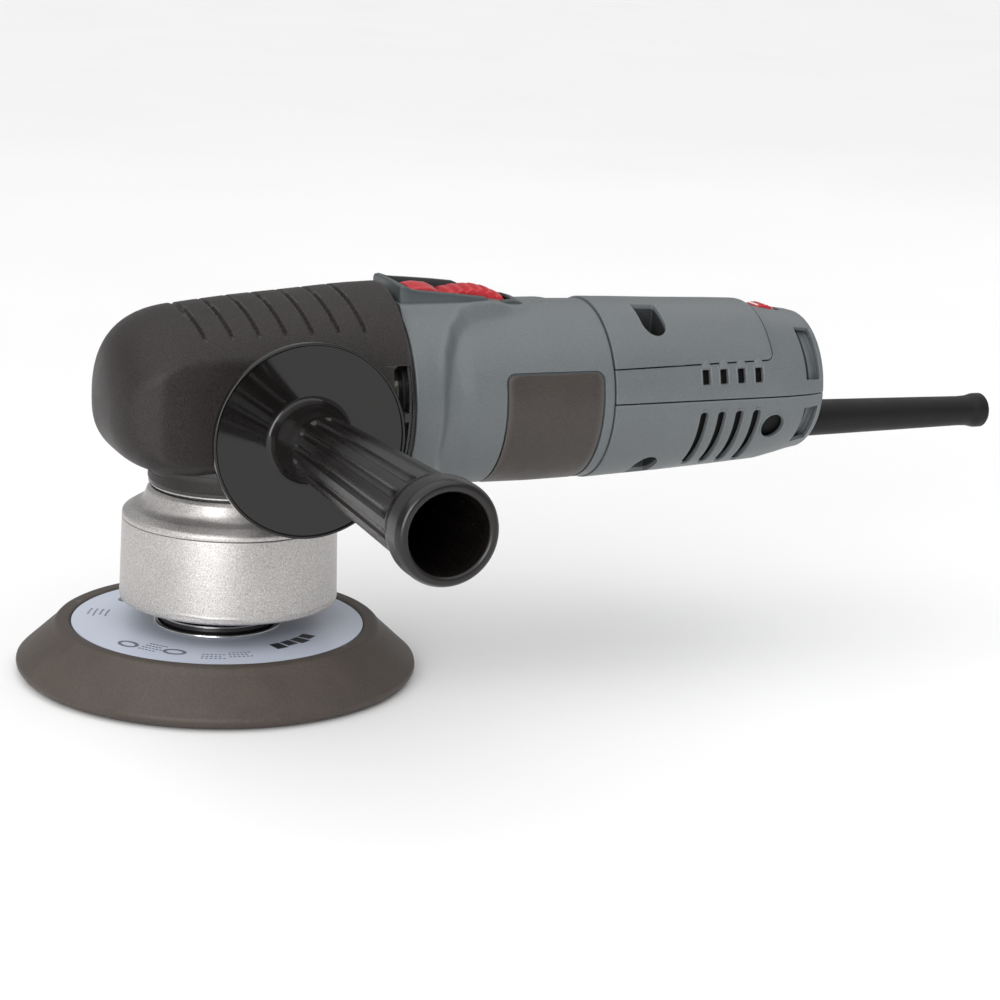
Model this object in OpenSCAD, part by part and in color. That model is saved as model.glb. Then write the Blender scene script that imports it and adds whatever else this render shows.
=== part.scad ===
// Dual action (random orbit) polisher with side handle and six inch pad.
// Origin: main spindle axis at the pad's working face. +Z up the spindle,
// +X to the rear along the motor, side handle towards -Y. Millimetres.

/* [Pad] */
// Radius of the pad
pad_r = 76.2; // [70:0.1:80]
// Thickness of the pad assembly up to the label
pad_t = 18.7; // [18.2:0.1:19.2]
// Radius of the pad's upper rim
pad_rim_r = 62; // [60:0.5:66]
// Radius of the printed label disc
label_r = 55.5; // [45:0.5:56]
// Offset of the pad axis from the spindle axis (half the orbit diameter)
orbit = 3.97; // [3.5:0.01:4.2]

/* [Shroud] */
// Radius of the metal skirt at its lower edge
skirt_r = 41.4; // [40.9:0.1:43]
// Height of the skirt's lower edge
skirt_z = 28.5; // [27:0.5:33]
// Height of the seam between skirt and cap
seam_z = 59.9; // [59.5:0.1:60.1]
// Radius of the black neck above the cap
neck_r = 31; // [30.5:0.1:31.5]

/* [Head and motor] */
// Height of the motor axis
motor_z = 104.5; // [104:0.1:105]
// Half width of the head cover
head_half_w = 38.3; // [38:0.1:40]
// Radius of the motor housing
housing_r = 36; // [35.8:0.1:36.6]
// Plane where the head ends and the motor housing begins
gap_x = 58; // [57.5:0.1:58.5]
// Plane of the seam between motor housing and rear housing
seam_x = 142.7; // [141:0.1:144]
// Plane of the rear end face
rear_x = 240; // [239.5:0.1:242]

/* [Side handle] */
// Position of the handle axis along the tool
handle_x = 12; // [10:0.5:14]
// Height of the handle axis
handle_z = 100.5; // [99:0.5:102]
// Distance of the handle's open end from the tool's middle plane
handle_end = 188; // [170:1:200]
// Radius of the guard flange
guard_r = 36; // [30:0.5:38]
// Number of grip flutes
flutes = 14; // [10:1:16]

/* [Gears] */
// Teeth on the spindle's bevel gear
gear_teeth = 41; // [41]
// Teeth on the armature pinion
pinion_teeth = 12; // [12]
// Module at the outer end of the teeth
gear_module = 1.25; // [1.25]

/* [Controls] */
// Position of the slide switch's middle
switch_x = 88; // [87:0.5:89]
// Radius of the speed dial
dial_r = 9.8; // [9.5:0.1:10]

/* [Hidden] */
$fn = 96;

gap = 0.3;          // clearance between bodies that move past each other
play = 0.04;        // radial running clearance of a shaft in its bearing
eps = 0.01;

// Side handle stud, and its seat in the handle
stud_shank_r = 3.95;
stud_seat_r = 3.97;

// Pad stack heights
face_t = 0.8;
plate_r = 57;
plate_z = 12.3;
label_t = 0.4;
plate_top = pad_t - label_t;
hub_z = 20.5;
flange_top = 24;
flange_r = 22.5;
stud_r = 3.95;

// Eccentric stack heights
arbor_r = 7.5;
arbor_bearing_r = 16;
arbor_bearing_w = 9;
arbor_bearing_z = 32.5;
arbor_top = 51;
web_z = 52.5;
carrier_top = 60.8;
disc_z = 54;
spindle_end = 55;

// Spindle and its bearings
spindle_r = 8.5;
lower_bearing_z = 70;
lower_bearing_w = 12;
lower_bearing_r = 20;
retainer_z = 64.8;
neck_z = 66.5;
neck_low = 73.8;
spigot_r = 29.4;
flare_top = 72;
clear_r = 37.2;
cap_under = 61.6;
upper_bearing_z = 117;
screw_ring = 23.5;
gear_seat_r = 8;
gear_seat_z = 86.5;

// Bevel gears: pitch cones meet on the spindle axis at the motor's height
gear_pr = gear_module * gear_teeth / 2;
pinion_pr = gear_module * pinion_teeth / 2;
cone_len = sqrt(gear_pr * gear_pr + pinion_pr * pinion_pr);
tooth_face = 7;
inner_scale = (cone_len - tooth_face) / cone_len;
addendum = 0.8 * gear_module;
dedendum = 1.1 * gear_module;
// Half width of a tooth at its pitch line, thinned for backlash
tooth_half = PI * gear_module / 4 - 0.22;
gear_top = motor_z - inner_scale * (pinion_pr + dedendum * gear_pr / cone_len);

// Motor stack along X
front_bearing_x = 36;
rear_bearing_x = 189;
fan_x = 48;
core_x = 84;
core_end = 128;
stator_r = 32.4;
bore_r = 32.6;
stator_bore = 18;
commutator_x = 142;
brush_x = 150;
tooth_slots = 12;

// Rear housing outline: station along X and radius
rear_profile = [[seam_x + 0.4, 36], [160, 35.7], [180, 35], [200, 34.1], [213, 33.2],
                [222, 31.9], [230, 30.2], [236, 29], [rear_x, 28.2]];
wall = 2.6;
split_z = motor_z - 0.1;
cover_z = 118;
cover_end = 213.5;
vent_pitch = 8;
vent_x = 183.3;
vent_count = 4;
screw_x = 162;
trough_z = 143.2;
dial_x = 222.5;
dial_z = 128.2;
badge_top = 117;
boot_z = 87.5;
boot_end = 337;

function arc(cx, cy, r, a0, a1, n = 8) =
    [for (i = [0:n]) let (a = a0 + (a1 - a0) * i / n) [cx + r * cos(a), cy + r * sin(a)]];

// ---- shared shapes ----

// Puts a solid drawn along +Z on the motor axis, so that it runs along +X
module on_motor_axis(x) {
    translate([x, 0, motor_z]) rotate([0, 90, 0]) children();
}

module motor_tube(x0, x1, ro, ri) {
    on_motor_axis(x0) difference() {
        cylinder(r = ro, h = x1 - x0);
        translate([0, 0, -1]) cylinder(r = ri, h = x1 - x0 + 2);
    }
}

module motor_rod(x0, x1, r) {
    on_motor_axis(x0) cylinder(r = r, h = x1 - x0);
}

module ring(z0, z1, ro, ri) {
    translate([0, 0, z0]) difference() {
        cylinder(r = ro, h = z1 - z0);
        translate([0, 0, -1]) cylinder(r = ri, h = z1 - z0 + 2);
    }
}

// Sealed ball bearing drawn from z = 0, with a shield groove in each face
module bearing(ro, ri, w) {
    mid = (ro + ri) / 2;
    span = (ro - ri) * 0.28;
    difference() {
        cylinder(r = ro, h = w);
        translate([0, 0, -1]) cylinder(r = ri, h = w + 2);
        for (z = [-1, w - 0.5]) translate([0, 0, z]) difference() {
            cylinder(r = mid + span, h = 1.5);
            translate([0, 0, -1]) cylinder(r = mid - span, h = 4);
        }
    }
}

// Pan head screw drawn with its head below z = 0 and its shank above
module screw(head_r, head_h, shank_r, length) {
    difference() {
        union() {
            translate([0, 0, -head_h]) cylinder(r = head_r, h = head_h);
            translate([0, 0, -eps]) cylinder(r = shank_r, h = length + eps);
        }
        for (a = [0, 90]) rotate(a)
            translate([-head_r * 0.6, -0.5, -head_h - 1]) cube([head_r * 1.2, 1, 1 + head_h * 0.5]);
    }
}

// ---- pad, turning freely on the orbiting arbor ----

module at_pad() {
    translate([-orbit, 0, 0]) children();
}

module backing_pad() {
    color("dimgray") at_pad() rotate_extrude() polygon([
        [0, face_t], [pad_r - 0.8, face_t], [pad_r, 2], [pad_r, 5],
        [pad_rim_r + 1.4, pad_t - 0.7], [pad_rim_r, pad_t], [plate_r, pad_t], [plate_r, plate_z],
        [14, plate_z], [14, plate_z - 1.6], [0, plate_z - 1.6]]);
}

module pad_face() {
    color("gray") at_pad() cylinder(r = pad_r - 0.9, h = face_t);
}

module backing_plate() {
    color("black") at_pad() rotate_extrude() polygon([
        [4.1, plate_z], [plate_r, plate_z], [plate_r, plate_top],
        [21, plate_top], [20, hub_z], [4.1, hub_z]]);
}

module pad_label() {
    color("lightsteelblue") at_pad() ring(plate_top, pad_t, label_r, 24);
}

module pad_stud() {
    color("silver") at_pad() {
        translate([0, 0, plate_z - 1.6]) cylinder(r = 13.9, h = 1.6);
        translate([0, 0, plate_z - eps]) cylinder(r = stud_r, h = 24);
    }
}

module pad_flange() {
    color("darkslategray") at_pad() difference() {
        rotate_extrude() polygon([
            [stud_r + 0.1, hub_z], [flange_r - 0.6, hub_z], [flange_r, hub_z + 0.6],
            [flange_r, flange_top - 1.4], [flange_r - 1, flange_top - 0.6],
            [14, flange_top], [stud_r + 0.1, flange_top]]);
        for (a = [0:60:300]) rotate(a) translate([17.5, 0, flange_top - 1])
            cylinder(r = 1.6, h = 2, $fn = 32);
    }
}

module arbor() {
    color("silver") at_pad() difference() {
        union() {
            translate([0, 0, flange_top]) cylinder(r = 10, h = arbor_bearing_z - gap - flange_top);
            cylinder_between(flange_top, arbor_top, arbor_r - play);
        }
        translate([0, 0, flange_top - 1]) cylinder(r = stud_r + 0.02, h = 15);
        for (s = [-1, 1]) translate([-12, s * 12 - 4, flange_top + 1.5]) cube([24, 8, 4.5]);
    }
}

module cylinder_between(z0, z1, r) {
    translate([0, 0, z0]) cylinder(r = r, h = z1 - z0);
}

// ---- spindle and eccentric ----

module spindle() {
    color("silver") difference() {
        union() {
            cylinder_between(spindle_end, lower_bearing_z + lower_bearing_w + gap + eps,
                             spindle_r - play);
            cylinder_between(lower_bearing_z + lower_bearing_w + gap, gear_seat_z, 10.5);
            cylinder_between(gear_seat_z - eps, 102, gear_seat_r);
            cylinder_between(102 - eps, 126, 4.5 - play);
        }
        cylinder_between(spindle_end - 1, 74, 3);
        ring(gear_top - 0.8, gear_top + 0.2, gear_seat_r + 1, gear_seat_r - 0.6);
        gear_key_shape(0.02);
    }
}

// One straight bevel tooth, pointing along +X, measured from the cones' apex.
// The pitch line leaves the apex at (along, -down); the tooth stands on its normal.
module gear_tooth() {
    px = gear_pr / cone_len;
    pz = pinion_pr / cone_len;
    foot = -dedendum - 0.4;
    function corner(len, s, h) =
        let (w = (tooth_half - h * tan(20)) * s)
        [len * px + s * h * pz, 0, -len * pz + s * h * px, w];
    function side(c, sign) = [c[0], sign * c[3], c[2]];
    outer = [corner(cone_len, 1, foot), corner(cone_len, 1, addendum)];
    inner = [corner(cone_len * inner_scale, inner_scale, foot),
             corner(cone_len * inner_scale, inner_scale, addendum)];
    polyhedron(
        points = [side(outer[0], -1), side(outer[0], 1), side(outer[1], 1), side(outer[1], -1),
                  side(inner[0], -1), side(inner[0], 1), side(inner[1], 1), side(inner[1], -1)],
        faces = [[3, 2, 1, 0], [4, 5, 6, 7], [0, 1, 5, 4], [1, 2, 6, 5], [2, 3, 7, 6], [3, 0, 4, 7]]);
}

module bevel_gear() {
    root_r = gear_pr - dedendum * pinion_pr / cone_len;
    root_z = motor_z - pinion_pr - dedendum * gear_pr / cone_len;
    color("gray") difference() {
        union() {
            rotate_extrude() polygon([
                [4, gear_seat_z], [13, gear_seat_z], [13, 89.5], [root_r, 90], [root_r, root_z],
                [inner_scale * root_r, gear_top], [12, gear_top], [12, gear_top - 0.8],
                [4, gear_top - 0.8]]);
            translate([0, 0, motor_z]) for (i = [0:gear_teeth - 1])
                rotate(i * 360 / gear_teeth) gear_tooth();
        }
        cylinder_between(gear_seat_z - 1, gear_top + 1, gear_seat_r + 0.02);
        gear_key_shape(0.02);
    }
}

module gear_key_shape(grow) {
    translate([-gear_seat_r - 1.8 - grow, -1.5 - grow, gear_seat_z + 1])
        cube([3.4 + grow, 3 + 2 * grow, 7]);
}

module gear_key() {
    color("silver") gear_key_shape(0);
}

module gear_clip() {
    color("dimgray") difference() {
        ring(gear_top - 0.79, gear_top + 0.19, 11, gear_seat_r - 0.55);
        translate([4, -2.5, gear_top - 2]) cube([10, 5, 4]);
    }
}

module eccentric_carrier() {
    color("dimgray") difference() {
        union() {
            at_pad() cylinder_between(31.2, disc_z + 1, 21.5);
            cylinder_between(disc_z, carrier_top, 35.5);
            cylinder_between(carrier_top - 1, 64, 12.5);
        }
        at_pad() cylinder_between(30, arbor_bearing_z + 2 * arbor_bearing_w,
                                  arbor_bearing_r + 0.02);
        at_pad() cylinder_between(40, web_z, 9.2);
        at_pad() ring(31.59, 32.51, arbor_bearing_r + 1.2, 10);
        cylinder_between(spindle_end, 70, spindle_r - play + 0.02);
        cylinder_between(40, 60, 3.2);
        translate([0, 0, web_z - eps]) cylinder(r1 = 5.3, r2 = 3.2, h = 2.1);
        for (a = [-45, 0, 45]) rotate(a) translate([28, 0, disc_z]) {
            translate([0, 0, -1]) cylinder(r = 2.1, h = 12);
            translate([0, 0, 4.2]) cylinder(r = 3.8, h = 6);
        }
        for (a = [120, 160, 200, 240]) rotate(a) translate([30, 0, disc_z - 1])
            cylinder(r = 3, h = 12);
    }
}

module counterweight() {
    color("gray") difference() {
        rotate([0, 0, -70]) rotate_extrude(angle = 140)
            translate([20.2, 34]) square([15.2, disc_z - 34]);
        for (a = [-45, 0, 45]) rotate(a) translate([28, 0, 40]) cylinder(r = 1.9, h = 20);
    }
}

module counterweight_screws() {
    color("silver") for (a = [-45, 0, 45]) rotate(a) translate([28, 0, disc_z + 4.2])
        rotate([180, 0, 0]) screw(3.6, 2.2, 1.88, 14);
}

module eccentric_bolt() {
    color("silver") {
        translate([0, 0, web_z]) cylinder(r1 = 5.2, r2 = 3.1, h = 2.1);
        cylinder_between(web_z + 2, 72, 2.98);
    }
}

module lower_arbor_bearing() {
    color("silver") at_pad() translate([0, 0, arbor_bearing_z])
        bearing(arbor_bearing_r, arbor_r, arbor_bearing_w);
}

module upper_arbor_bearing() {
    color("silver") at_pad() translate([0, 0, arbor_bearing_z + arbor_bearing_w])
        bearing(arbor_bearing_r, arbor_r, arbor_bearing_w);
}

module bearing_clip() {
    color("dimgray") at_pad() difference() {
        ring(31.6, 32.5, arbor_bearing_r + 1.1, 13.5);
        translate([8, -3, 30]) cube([12, 6, 4]);
    }
}

// ---- armature ----

module armature_shaft() {
    color("silver") {
        motor_rod(17.5, 33.2, 3.5);
        motor_rod(33.2 - eps, front_bearing_x + 9 + gap, 5 - play);
        motor_rod(front_bearing_x + 9 + gap - eps, 165, 6);
        motor_rod(165 - eps, rear_bearing_x - gap, 5);
        motor_rod(rear_bearing_x - gap - eps, rear_bearing_x + 9, 4 - play);
    }
}

// Pinion outline at the outer end of its teeth, one tooth at a time
module pinion_outline() {
    root = pinion_pr - dedendum * gear_pr / cone_len;
    tip = pinion_pr + addendum * gear_pr / cone_len;
    half_tip = tooth_half - addendum * tan(20) - 0.1;
    half_root = tooth_half + 0.2;
    circle(r = root);
    for (i = [0:pinion_teeth - 1]) rotate((i + 0.5) * 360 / pinion_teeth)
        polygon([[root - 0.6, -half_root], [pinion_pr, -tooth_half], [tip, -half_tip],
                 [tip, half_tip], [pinion_pr, tooth_half], [root - 0.6, half_root]]);
}

module pinion_gear() {
    color("dimgray") difference() {
        union() {
            on_motor_axis(gear_pr) mirror([0, 0, 1])
                linear_extrude(height = gear_pr * (1 - inner_scale), scale = inner_scale)
                    pinion_outline();
            motor_rod(gear_pr - eps, 33, 6);
        }
        motor_rod(10, 40, 3.52);
    }
}

module armature_core() {
    color("slategray") on_motor_axis(core_x) difference() {
        cylinder(r = 17.4, h = core_end - core_x);
        translate([0, 0, -1]) cylinder(r = 6.02, h = 60);
        for (i = [0:tooth_slots - 1]) rotate(i * 360 / tooth_slots)
            translate([10.4, -1.6, -1]) cube([8, 3.2, 60]);
    }
}

module armature_windings() {
    color("chocolate") {
        for (x = [76, core_end]) on_motor_axis(x) rotate_extrude() polygon([
            [6.2, 0], [14, 0], [16, 2], [16, 6], [14, 8], [6.2, 8]]);
        on_motor_axis(83) for (i = [0:tooth_slots - 1]) rotate(i * 360 / tooth_slots)
            translate([10.6, -1.5, 0]) cube([5.2, 3, core_end - core_x + 2]);
    }
}

module commutator() {
    color("peru") on_motor_axis(commutator_x) difference() {
        cylinder(r = 10.5, h = 16);
        translate([0, 0, -1]) cylinder(r = 6.02, h = 20);
        for (i = [0:23]) rotate(i * 15) translate([9.6, -0.25, -1]) cube([2, 0.5, 20]);
    }
}

module cooling_fan() {
    color("white") on_motor_axis(fan_x) difference() {
        union() {
            cylinder(r = 10, h = 12);
            translate([0, 0, 9.5]) cylinder(r = 27.4, h = 2.5);
            for (i = [0:12]) rotate(i * 360 / 13) translate([8, -1, 1])
                cube([19, 2, 9]);
        }
        translate([0, 0, -1]) cylinder(r = 6.02, h = 20);
    }
}

// ---- controls ----

// Sliding button: smooth nub in front, ribbed thumb rest behind, stem through the slot
module switch_slider() {
    floor_z = trough_z + gap;
    color("crimson") difference() {
        union() {
            intersection() {
                translate([switch_x - 21, -9, floor_z]) cube([43, 18, 8]);
                union() {
                    translate([switch_x - 14, 0, 139]) rotate([90, 0, 0])
                        cylinder(r = 9.8, h = 15, center = true);
                    translate([switch_x + 6, 0, 129.4]) rotate([90, 0, 0])
                        cylinder(r = 18.2, h = 15, center = true);
                }
            }
            translate([switch_x - 20, -7.5, floor_z]) cube([40, 15, 1.2]);
            translate([switch_x - 4, -3, 136.4]) cube([14, 6, 9]);
        }
        // thumb ribs across the hump
        translate([switch_x + 6, 0, 129.4]) for (a = [-16:8:40]) rotate([90, a, 0])
            translate([0, 18.9, 0]) cylinder(r = 1.3, h = 20, center = true, $fn = 24);
    }
}

module switch_link() {
    color("black") {
        translate([80, -4, 134.8]) cube([84, 8, 1.6]);
        translate([161.5, -4, 128]) cube([2.5, 8, 7]);
    }
}

module speed_dial() {
    knurls = 24;
    color("crimson") translate([dial_x, 0, dial_z]) rotate([90, 0, 0]) difference() {
        union() {
            cylinder(r = dial_r, h = 9, center = true);
            cylinder(r = 2, h = 17, center = true);
        }
        for (i = [0:knurls - 1]) rotate(i * 360 / knurls) translate([dial_r + 0.35, 0, 0])
            cylinder(r = 0.8, h = 12, center = true, $fn = 16);
    }
}

// ---- gear head ----

module gear_case() {
    color("black") difference() {
        union() {
            cylinder_between(neck_z, neck_low + eps, spigot_r);
            cylinder_between(neck_low, 112, neck_r);
            translate([0, 0, 112 - eps]) cylinder(r1 = neck_r, r2 = 17, h = 10);
            cylinder_between(112, 128, 17);
            difference() {
                motor_rod(15, gap_x - 1, 33.5);
                cylinder_between(60, neck_low, clear_r);
            }
            motor_rod(gap_x - 1.2, gap_x + 1.2, 37.4);
            for (s = [-1, 1]) translate([handle_x, 0, handle_z]) rotate([-90 * s, 0, 0])
                cylinder(r = 11, h = 37);
            for (a = [45:90:315]) on_motor_axis(gap_x - 11) rotate(a)
                translate([31.9, 0, 0]) cylinder(r = 3.2, h = 11);
        }
        // gear chamber, bearing seats and seal counterbore
        cylinder_between(84, 112 + eps, 27.7);
        translate([0, 0, 112]) cylinder(r1 = 27.7, r2 = 13, h = 8);
        cylinder_between(81, 90, 17);
        cylinder_between(lower_bearing_z - 1, lower_bearing_z + lower_bearing_w,
                         lower_bearing_r + 0.02);
        cylinder_between(neck_z - 1, lower_bearing_z, 28);
        cylinder_between(110, upper_bearing_z + 7, 12.02);
        cylinder_between(110, 126.5, 6);
        // pinion tunnel, front motor bearing seat and fan chamber
        motor_rod(10, 36, 11);
        motor_rod(30, 36.2, 12);
        motor_rod(front_bearing_x, front_bearing_x + 9.2, 15.02);
        motor_rod(40, 60, 12);
        motor_rod(front_bearing_x + 9.1, gap_x + 2, 28.6);
        // exhaust windows beside the fan
        for (s = [-1, 1]) translate([50.5, s > 0 ? 20 : -40, 88]) cube([5.5, 20, 32]);
        // threaded bushing pockets on both sides
        for (s = [-1, 1]) translate([handle_x, s * 27, handle_z]) rotate([-90 * s, 0, 0])
            cylinder(r = 7.02, h = 20);
        for (a = [45:90:315]) {
            rotate(a) translate([screw_ring, 0, neck_z - 1]) cylinder(r = 2.12, h = 16);
            on_motor_axis(gap_x - 10) rotate(a) translate([31.9, 0, 0])
                cylinder(r = 1.92, h = 20);
        }
    }
}

// Outline solid of the head, shrunk by t all round: an egg section at the rear
// drawn forward into a blunt rounded nose
module head_form(t) {
    rear_len = t > 0 ? 6 : 1;
    hull() {
        for (p = [[0, head_half_w], [7.8, 36.1]])
            translate([gap_x - 2.6, 0, motor_z + p[0]]) rotate([0, 90, 0])
                cylinder(r = p[1] - t, h = rear_len, $fn = 64);
        for (p = [[0, 37], [2.2, 36]])
            translate([-14, 0, motor_z + p[0]]) rotate([0, 90, 0])
                cylinder(r = p[1] - t, h = 1, $fn = 64);
        for (s = [-1, 1]) translate([-24, s * 10, 111]) sphere(r = 27 - t, $fn = 48);
    }
}

module head_cover() {
    color("black") difference() {
        head_form(0);
        head_form(2.6);
        cylinder_between(50, 90, neck_r + 0.2);
        // room for the cap's flare
        cylinder_between(50, neck_low, clear_r);
        translate([-40, -50, 50]) cube([71, 100, 28]);
        for (s = [-1, 1]) translate([handle_x, 0, handle_z]) rotate([-90 * s, 0, 0])
            cylinder(r = 11.2, h = 60);
        for (s = [-1, 1]) translate([51.5, s > 0 ? 25 : -45, 87]) cube([10, 20, 34]);
        // grip grooves over the crown
        for (i = [0:6]) translate([-17.5 + 10 * i, 0, motor_z]) rotate([0, 90, 0])
            translate([0, 0, -0.5]) difference() {
                cylinder(r = 60, h = 1);
                translate([-i * 0.95 - 0.3, 0, -1]) cylinder(r = 36.6, h = 3);
                translate([-16, -70, -2]) cube([120, 140, 5]);
            }
    }
}

module bearing_retainer() {
    color("silver") difference() {
        union() {
            cylinder_between(retainer_z, neck_z, spigot_r);
            cylinder_between(neck_z - eps, lower_bearing_z, 27.95);
        }
        cylinder_between(60, 75, 13.5);
        cylinder_between(66, 68.5, 15.5);
        for (a = [45:90:315]) rotate(a) translate([screw_ring, 0, 60]) cylinder(r = 2.12, h = 15);
    }
}

module felt_seal() {
    color("beige") ring(66, 68.5, 15.5, spindle_r + 0.3);
}

module lower_spindle_bearing() {
    color("silver") translate([0, 0, lower_bearing_z])
        bearing(lower_bearing_r, spindle_r, lower_bearing_w);
}

module upper_spindle_bearing() {
    color("silver") translate([0, 0, upper_bearing_z]) bearing(12, 4.5, 7);
}

// Cap: rounded shoulder over the seam, then a flare that rises round the neck's spigot
module shroud_cap() {
    color("lightgray") difference() {
        rotate_extrude() polygon(concat(
            [[16, cap_under], [36.4, cap_under], [36.4, seam_z - 3.4], [38.3, seam_z - 3.4],
             [38.3, seam_z]],
            [[skirt_r - 0.7, seam_z]],
            arc(skirt_r - 3.3, seam_z + 1.5, 2.6, 0, 100, 8),
            [[36.4, 64.3], [34.4, 65.6], [32.7, 68], [31.6, 71], [30.7, flare_top]],
            [[spigot_r + gap, flare_top], [spigot_r + gap, retainer_z], [16, retainer_z]]));
        for (a = [45:90:315]) rotate(a) translate([screw_ring, 0, 0]) {
            cylinder_between(60, 70, 2.12);
            cylinder_between(60, cap_under + 2, 4);
        }
    }
}

module shroud_skirt() {
    color("lightgray") rotate_extrude() polygon([
        [38.4, skirt_z], [skirt_r - 0.8, skirt_z], [skirt_r, skirt_z + 0.8],
        [skirt_r - 0.7, seam_z], [38.4, seam_z]]);
}

module shroud_screws() {
    color("silver") for (a = [45:90:315]) rotate(a)
        translate([screw_ring, 0, cap_under + 2]) screw(3.8, 1.8, 2.1, 17);
}

module handle_bushings() {
    color("gold") for (s = [-1, 1]) translate([handle_x, s * 27, handle_z])
        rotate([-90 * s, 0, 0]) difference() {
            cylinder(r = 7, h = 11);
            translate([0, 0, -1]) cylinder(r = 4, h = 20);
        }
}

// Side handle: hub against the boss, thin guard flange, fluted grip, open flared end
module side_handle() {
    hub = 38.5;
    guard = 55;
    grip = guard + 14;
    flare = handle_end - 16;
    module along_handle(y) {
        translate([handle_x, -y, handle_z]) rotate([90, 0, 0]) children();
    }
    color("black") difference() {
        along_handle(0) rotate_extrude() polygon(concat(
            [[stud_seat_r, hub], [12, hub], [13, hub + 1], [13, guard - 1.4]],
            [[guard_r - 0.6, guard - 1.4], [guard_r, guard - 0.9], [guard_r, guard + 0.9],
             [guard_r - 1.2, guard + 1.1], [guard_r - 1.8, guard + 0.6], [15.5, guard + 0.6]],
            [[14, guard + 1.6], [13.6, guard + 4], [13.4, grip - 2], [12.4, grip]],
            [[15.4, flare], [15.8, flare + 3], [17.2, flare + 6], [17.5, flare + 9],
             [17.5, handle_end - 1.6], [16.4, handle_end]],
            [[13.6, handle_end], [12.9, handle_end - 2], [9.2, grip + 35], [stud_seat_r, grip + 31]]));
        for (i = [0:flutes - 1]) along_handle(grip + 4) rotate((i + 0.5) * 360 / flutes)
            translate([13.1, 0, 0]) rotate([0, 1.7, 0])
                cylinder(r = 1.9, h = flare - grip - 6, $fn = 16);
    }
}

module handle_stud() {
    color("silver") translate([handle_x, -28, handle_z]) rotate([90, 0, 0])
        cylinder(r = stud_shank_r, h = 60);
}

// ---- motor ----

module front_motor_bearing() {
    color("silver") on_motor_axis(front_bearing_x) bearing(15, 5, 9);
}

module rear_motor_bearing() {
    color("silver") on_motor_axis(rear_bearing_x) bearing(11, 4, 7);
}

module bearing_sleeve() {
    color("black") difference() {
        motor_rod(rear_bearing_x - 0.2, rear_bearing_x + 8.2, 13.5);
        motor_rod(rear_bearing_x - 1, rear_bearing_x + 7, 11.02);
        motor_rod(rear_bearing_x, rear_bearing_x + 10, 5.5);
    }
}

module fan_baffle() {
    color("black") motor_tube(62, 64, 29.9, 20);
}

// Outer form of the motor housing: raised front collar faired into the round body
module motor_form() {
    hull() {
        for (p = [[0, head_half_w], [7.2, 35.5]])
            translate([gap_x + 1.6, 0, motor_z + p[0]]) rotate([0, 90, 0])
                cylinder(r = p[1], h = 16, $fn = 64);
        motor_rod(97, 118, housing_r);
        translate([gap_x + 20, 0, motor_z + 4.5]) rotate([0, 90, 0])
            cylinder(r = 35, h = 18, $fn = 64);
    }
    motor_rod(100, seam_x, housing_r);
}

module motor_housing() {
    color("dimgray") difference() {
        motor_form();
        // bore: thick front wall, then the stator bore
        motor_rod(50, 75, 30);
        motor_rod(74.5, 150, bore_r);
        motor_rod(core_end + 2, 150, 33);
        // finger relief around the sides behind the collar
        intersection() {
            on_motor_axis(86) rotate_extrude()
                translate([housing_r + 20, 0]) circle(r = 21.2, $fn = 96);
            translate([70, -60, 50]) cube([30, 120, 84]);
        }
        // panel recess, switch trough and slot, and screw ways
        badge_zone(0.35, 34.8);
        switch_trough();
        translate([76, -3.4, 130]) cube([24, 6.8, 30]);
        for (a = [45:90:315]) on_motor_axis(50) rotate(a) translate([31.9, 0, 0]) {
            cylinder(r = 1.92, h = 30);
            translate([0, 0, 24]) cylinder(r = 3.4, h = 3.4);
        }
    }
}

module case_screws() {
    color("silver") for (a = [45:90:315]) on_motor_axis(74) rotate(a)
        translate([31.9, 0, 0]) rotate([180, 0, 0]) screw(3.2, 2.6, 1.9, 24);
}

// Shell zone wrapping under the body, from one side's upper edge to the other's
module badge_zone(grow, ri) {
    intersection() {
        motor_tube(98 - grow, 138.2 + grow, 40, ri);
        translate([90, -50, 50]) cube([60, 100, badge_top - 50 + grow]);
    }
}

module badge_panel() {
    color("saddlebrown") intersection() {
        badge_zone(0, 34.85);
        motor_rod(90, 150, housing_r);
    }
}

// Trough that guards the slide switch: front lip, two rails, tail faired down
module switch_bezel() {
    color("darkslategray") difference() {
        hull() {
            translate([gap_x + 2, -15, 130]) cube([4, 30, 17.6]);
            translate([gap_x + 2, -11, 130]) cube([3, 22, 20.6]);
            translate([70, -15, 130]) cube([26, 30, 17.2]);
            translate([112, -10, 130]) cube([5, 20, 10]);
        }
        motor_form();
        switch_trough();
    }
}

// Space in which the slide switch travels
module switch_trough() {
    translate([gap_x + 3.6, -12, trough_z]) cube([50, 24, 20]);
}

module stator_core() {
    color("slategray") on_motor_axis(core_x - 2) difference() {
        cylinder(r = stator_r, h = core_end - core_x + 4);
        translate([0, 0, -1]) cylinder(r = stator_bore, h = 60);
        for (a = [45:90:315]) rotate(a) translate([17, -4.6, -1]) cube([8, 9.2, 60]);
        translate([-50, -20, -1]) cube([20.4, 40, 60]);
        translate([29.6, -20, -1]) cube([20, 40, 60]);
    }
}

module field_coils() {
    coil_len = core_end - core_x + 4;
    color("chocolate") on_motor_axis(core_x - 2) for (a = [0, 180]) rotate(a) {
        for (b = [45, 135]) rotate(b) translate([18.6, -4.4, -0.5]) cube([6, 8.8, coil_len + 1]);
        for (z = [-7, coil_len]) translate([0, 0, z]) rotate(34) rotate_extrude(angle = 112)
            translate([18.6, 0]) square([6.2, 7]);
    }
}

module on_brush_axis(s) {
    translate([brush_x, 0, motor_z]) rotate([-90 * s, 0, 0]) children();
}

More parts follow.
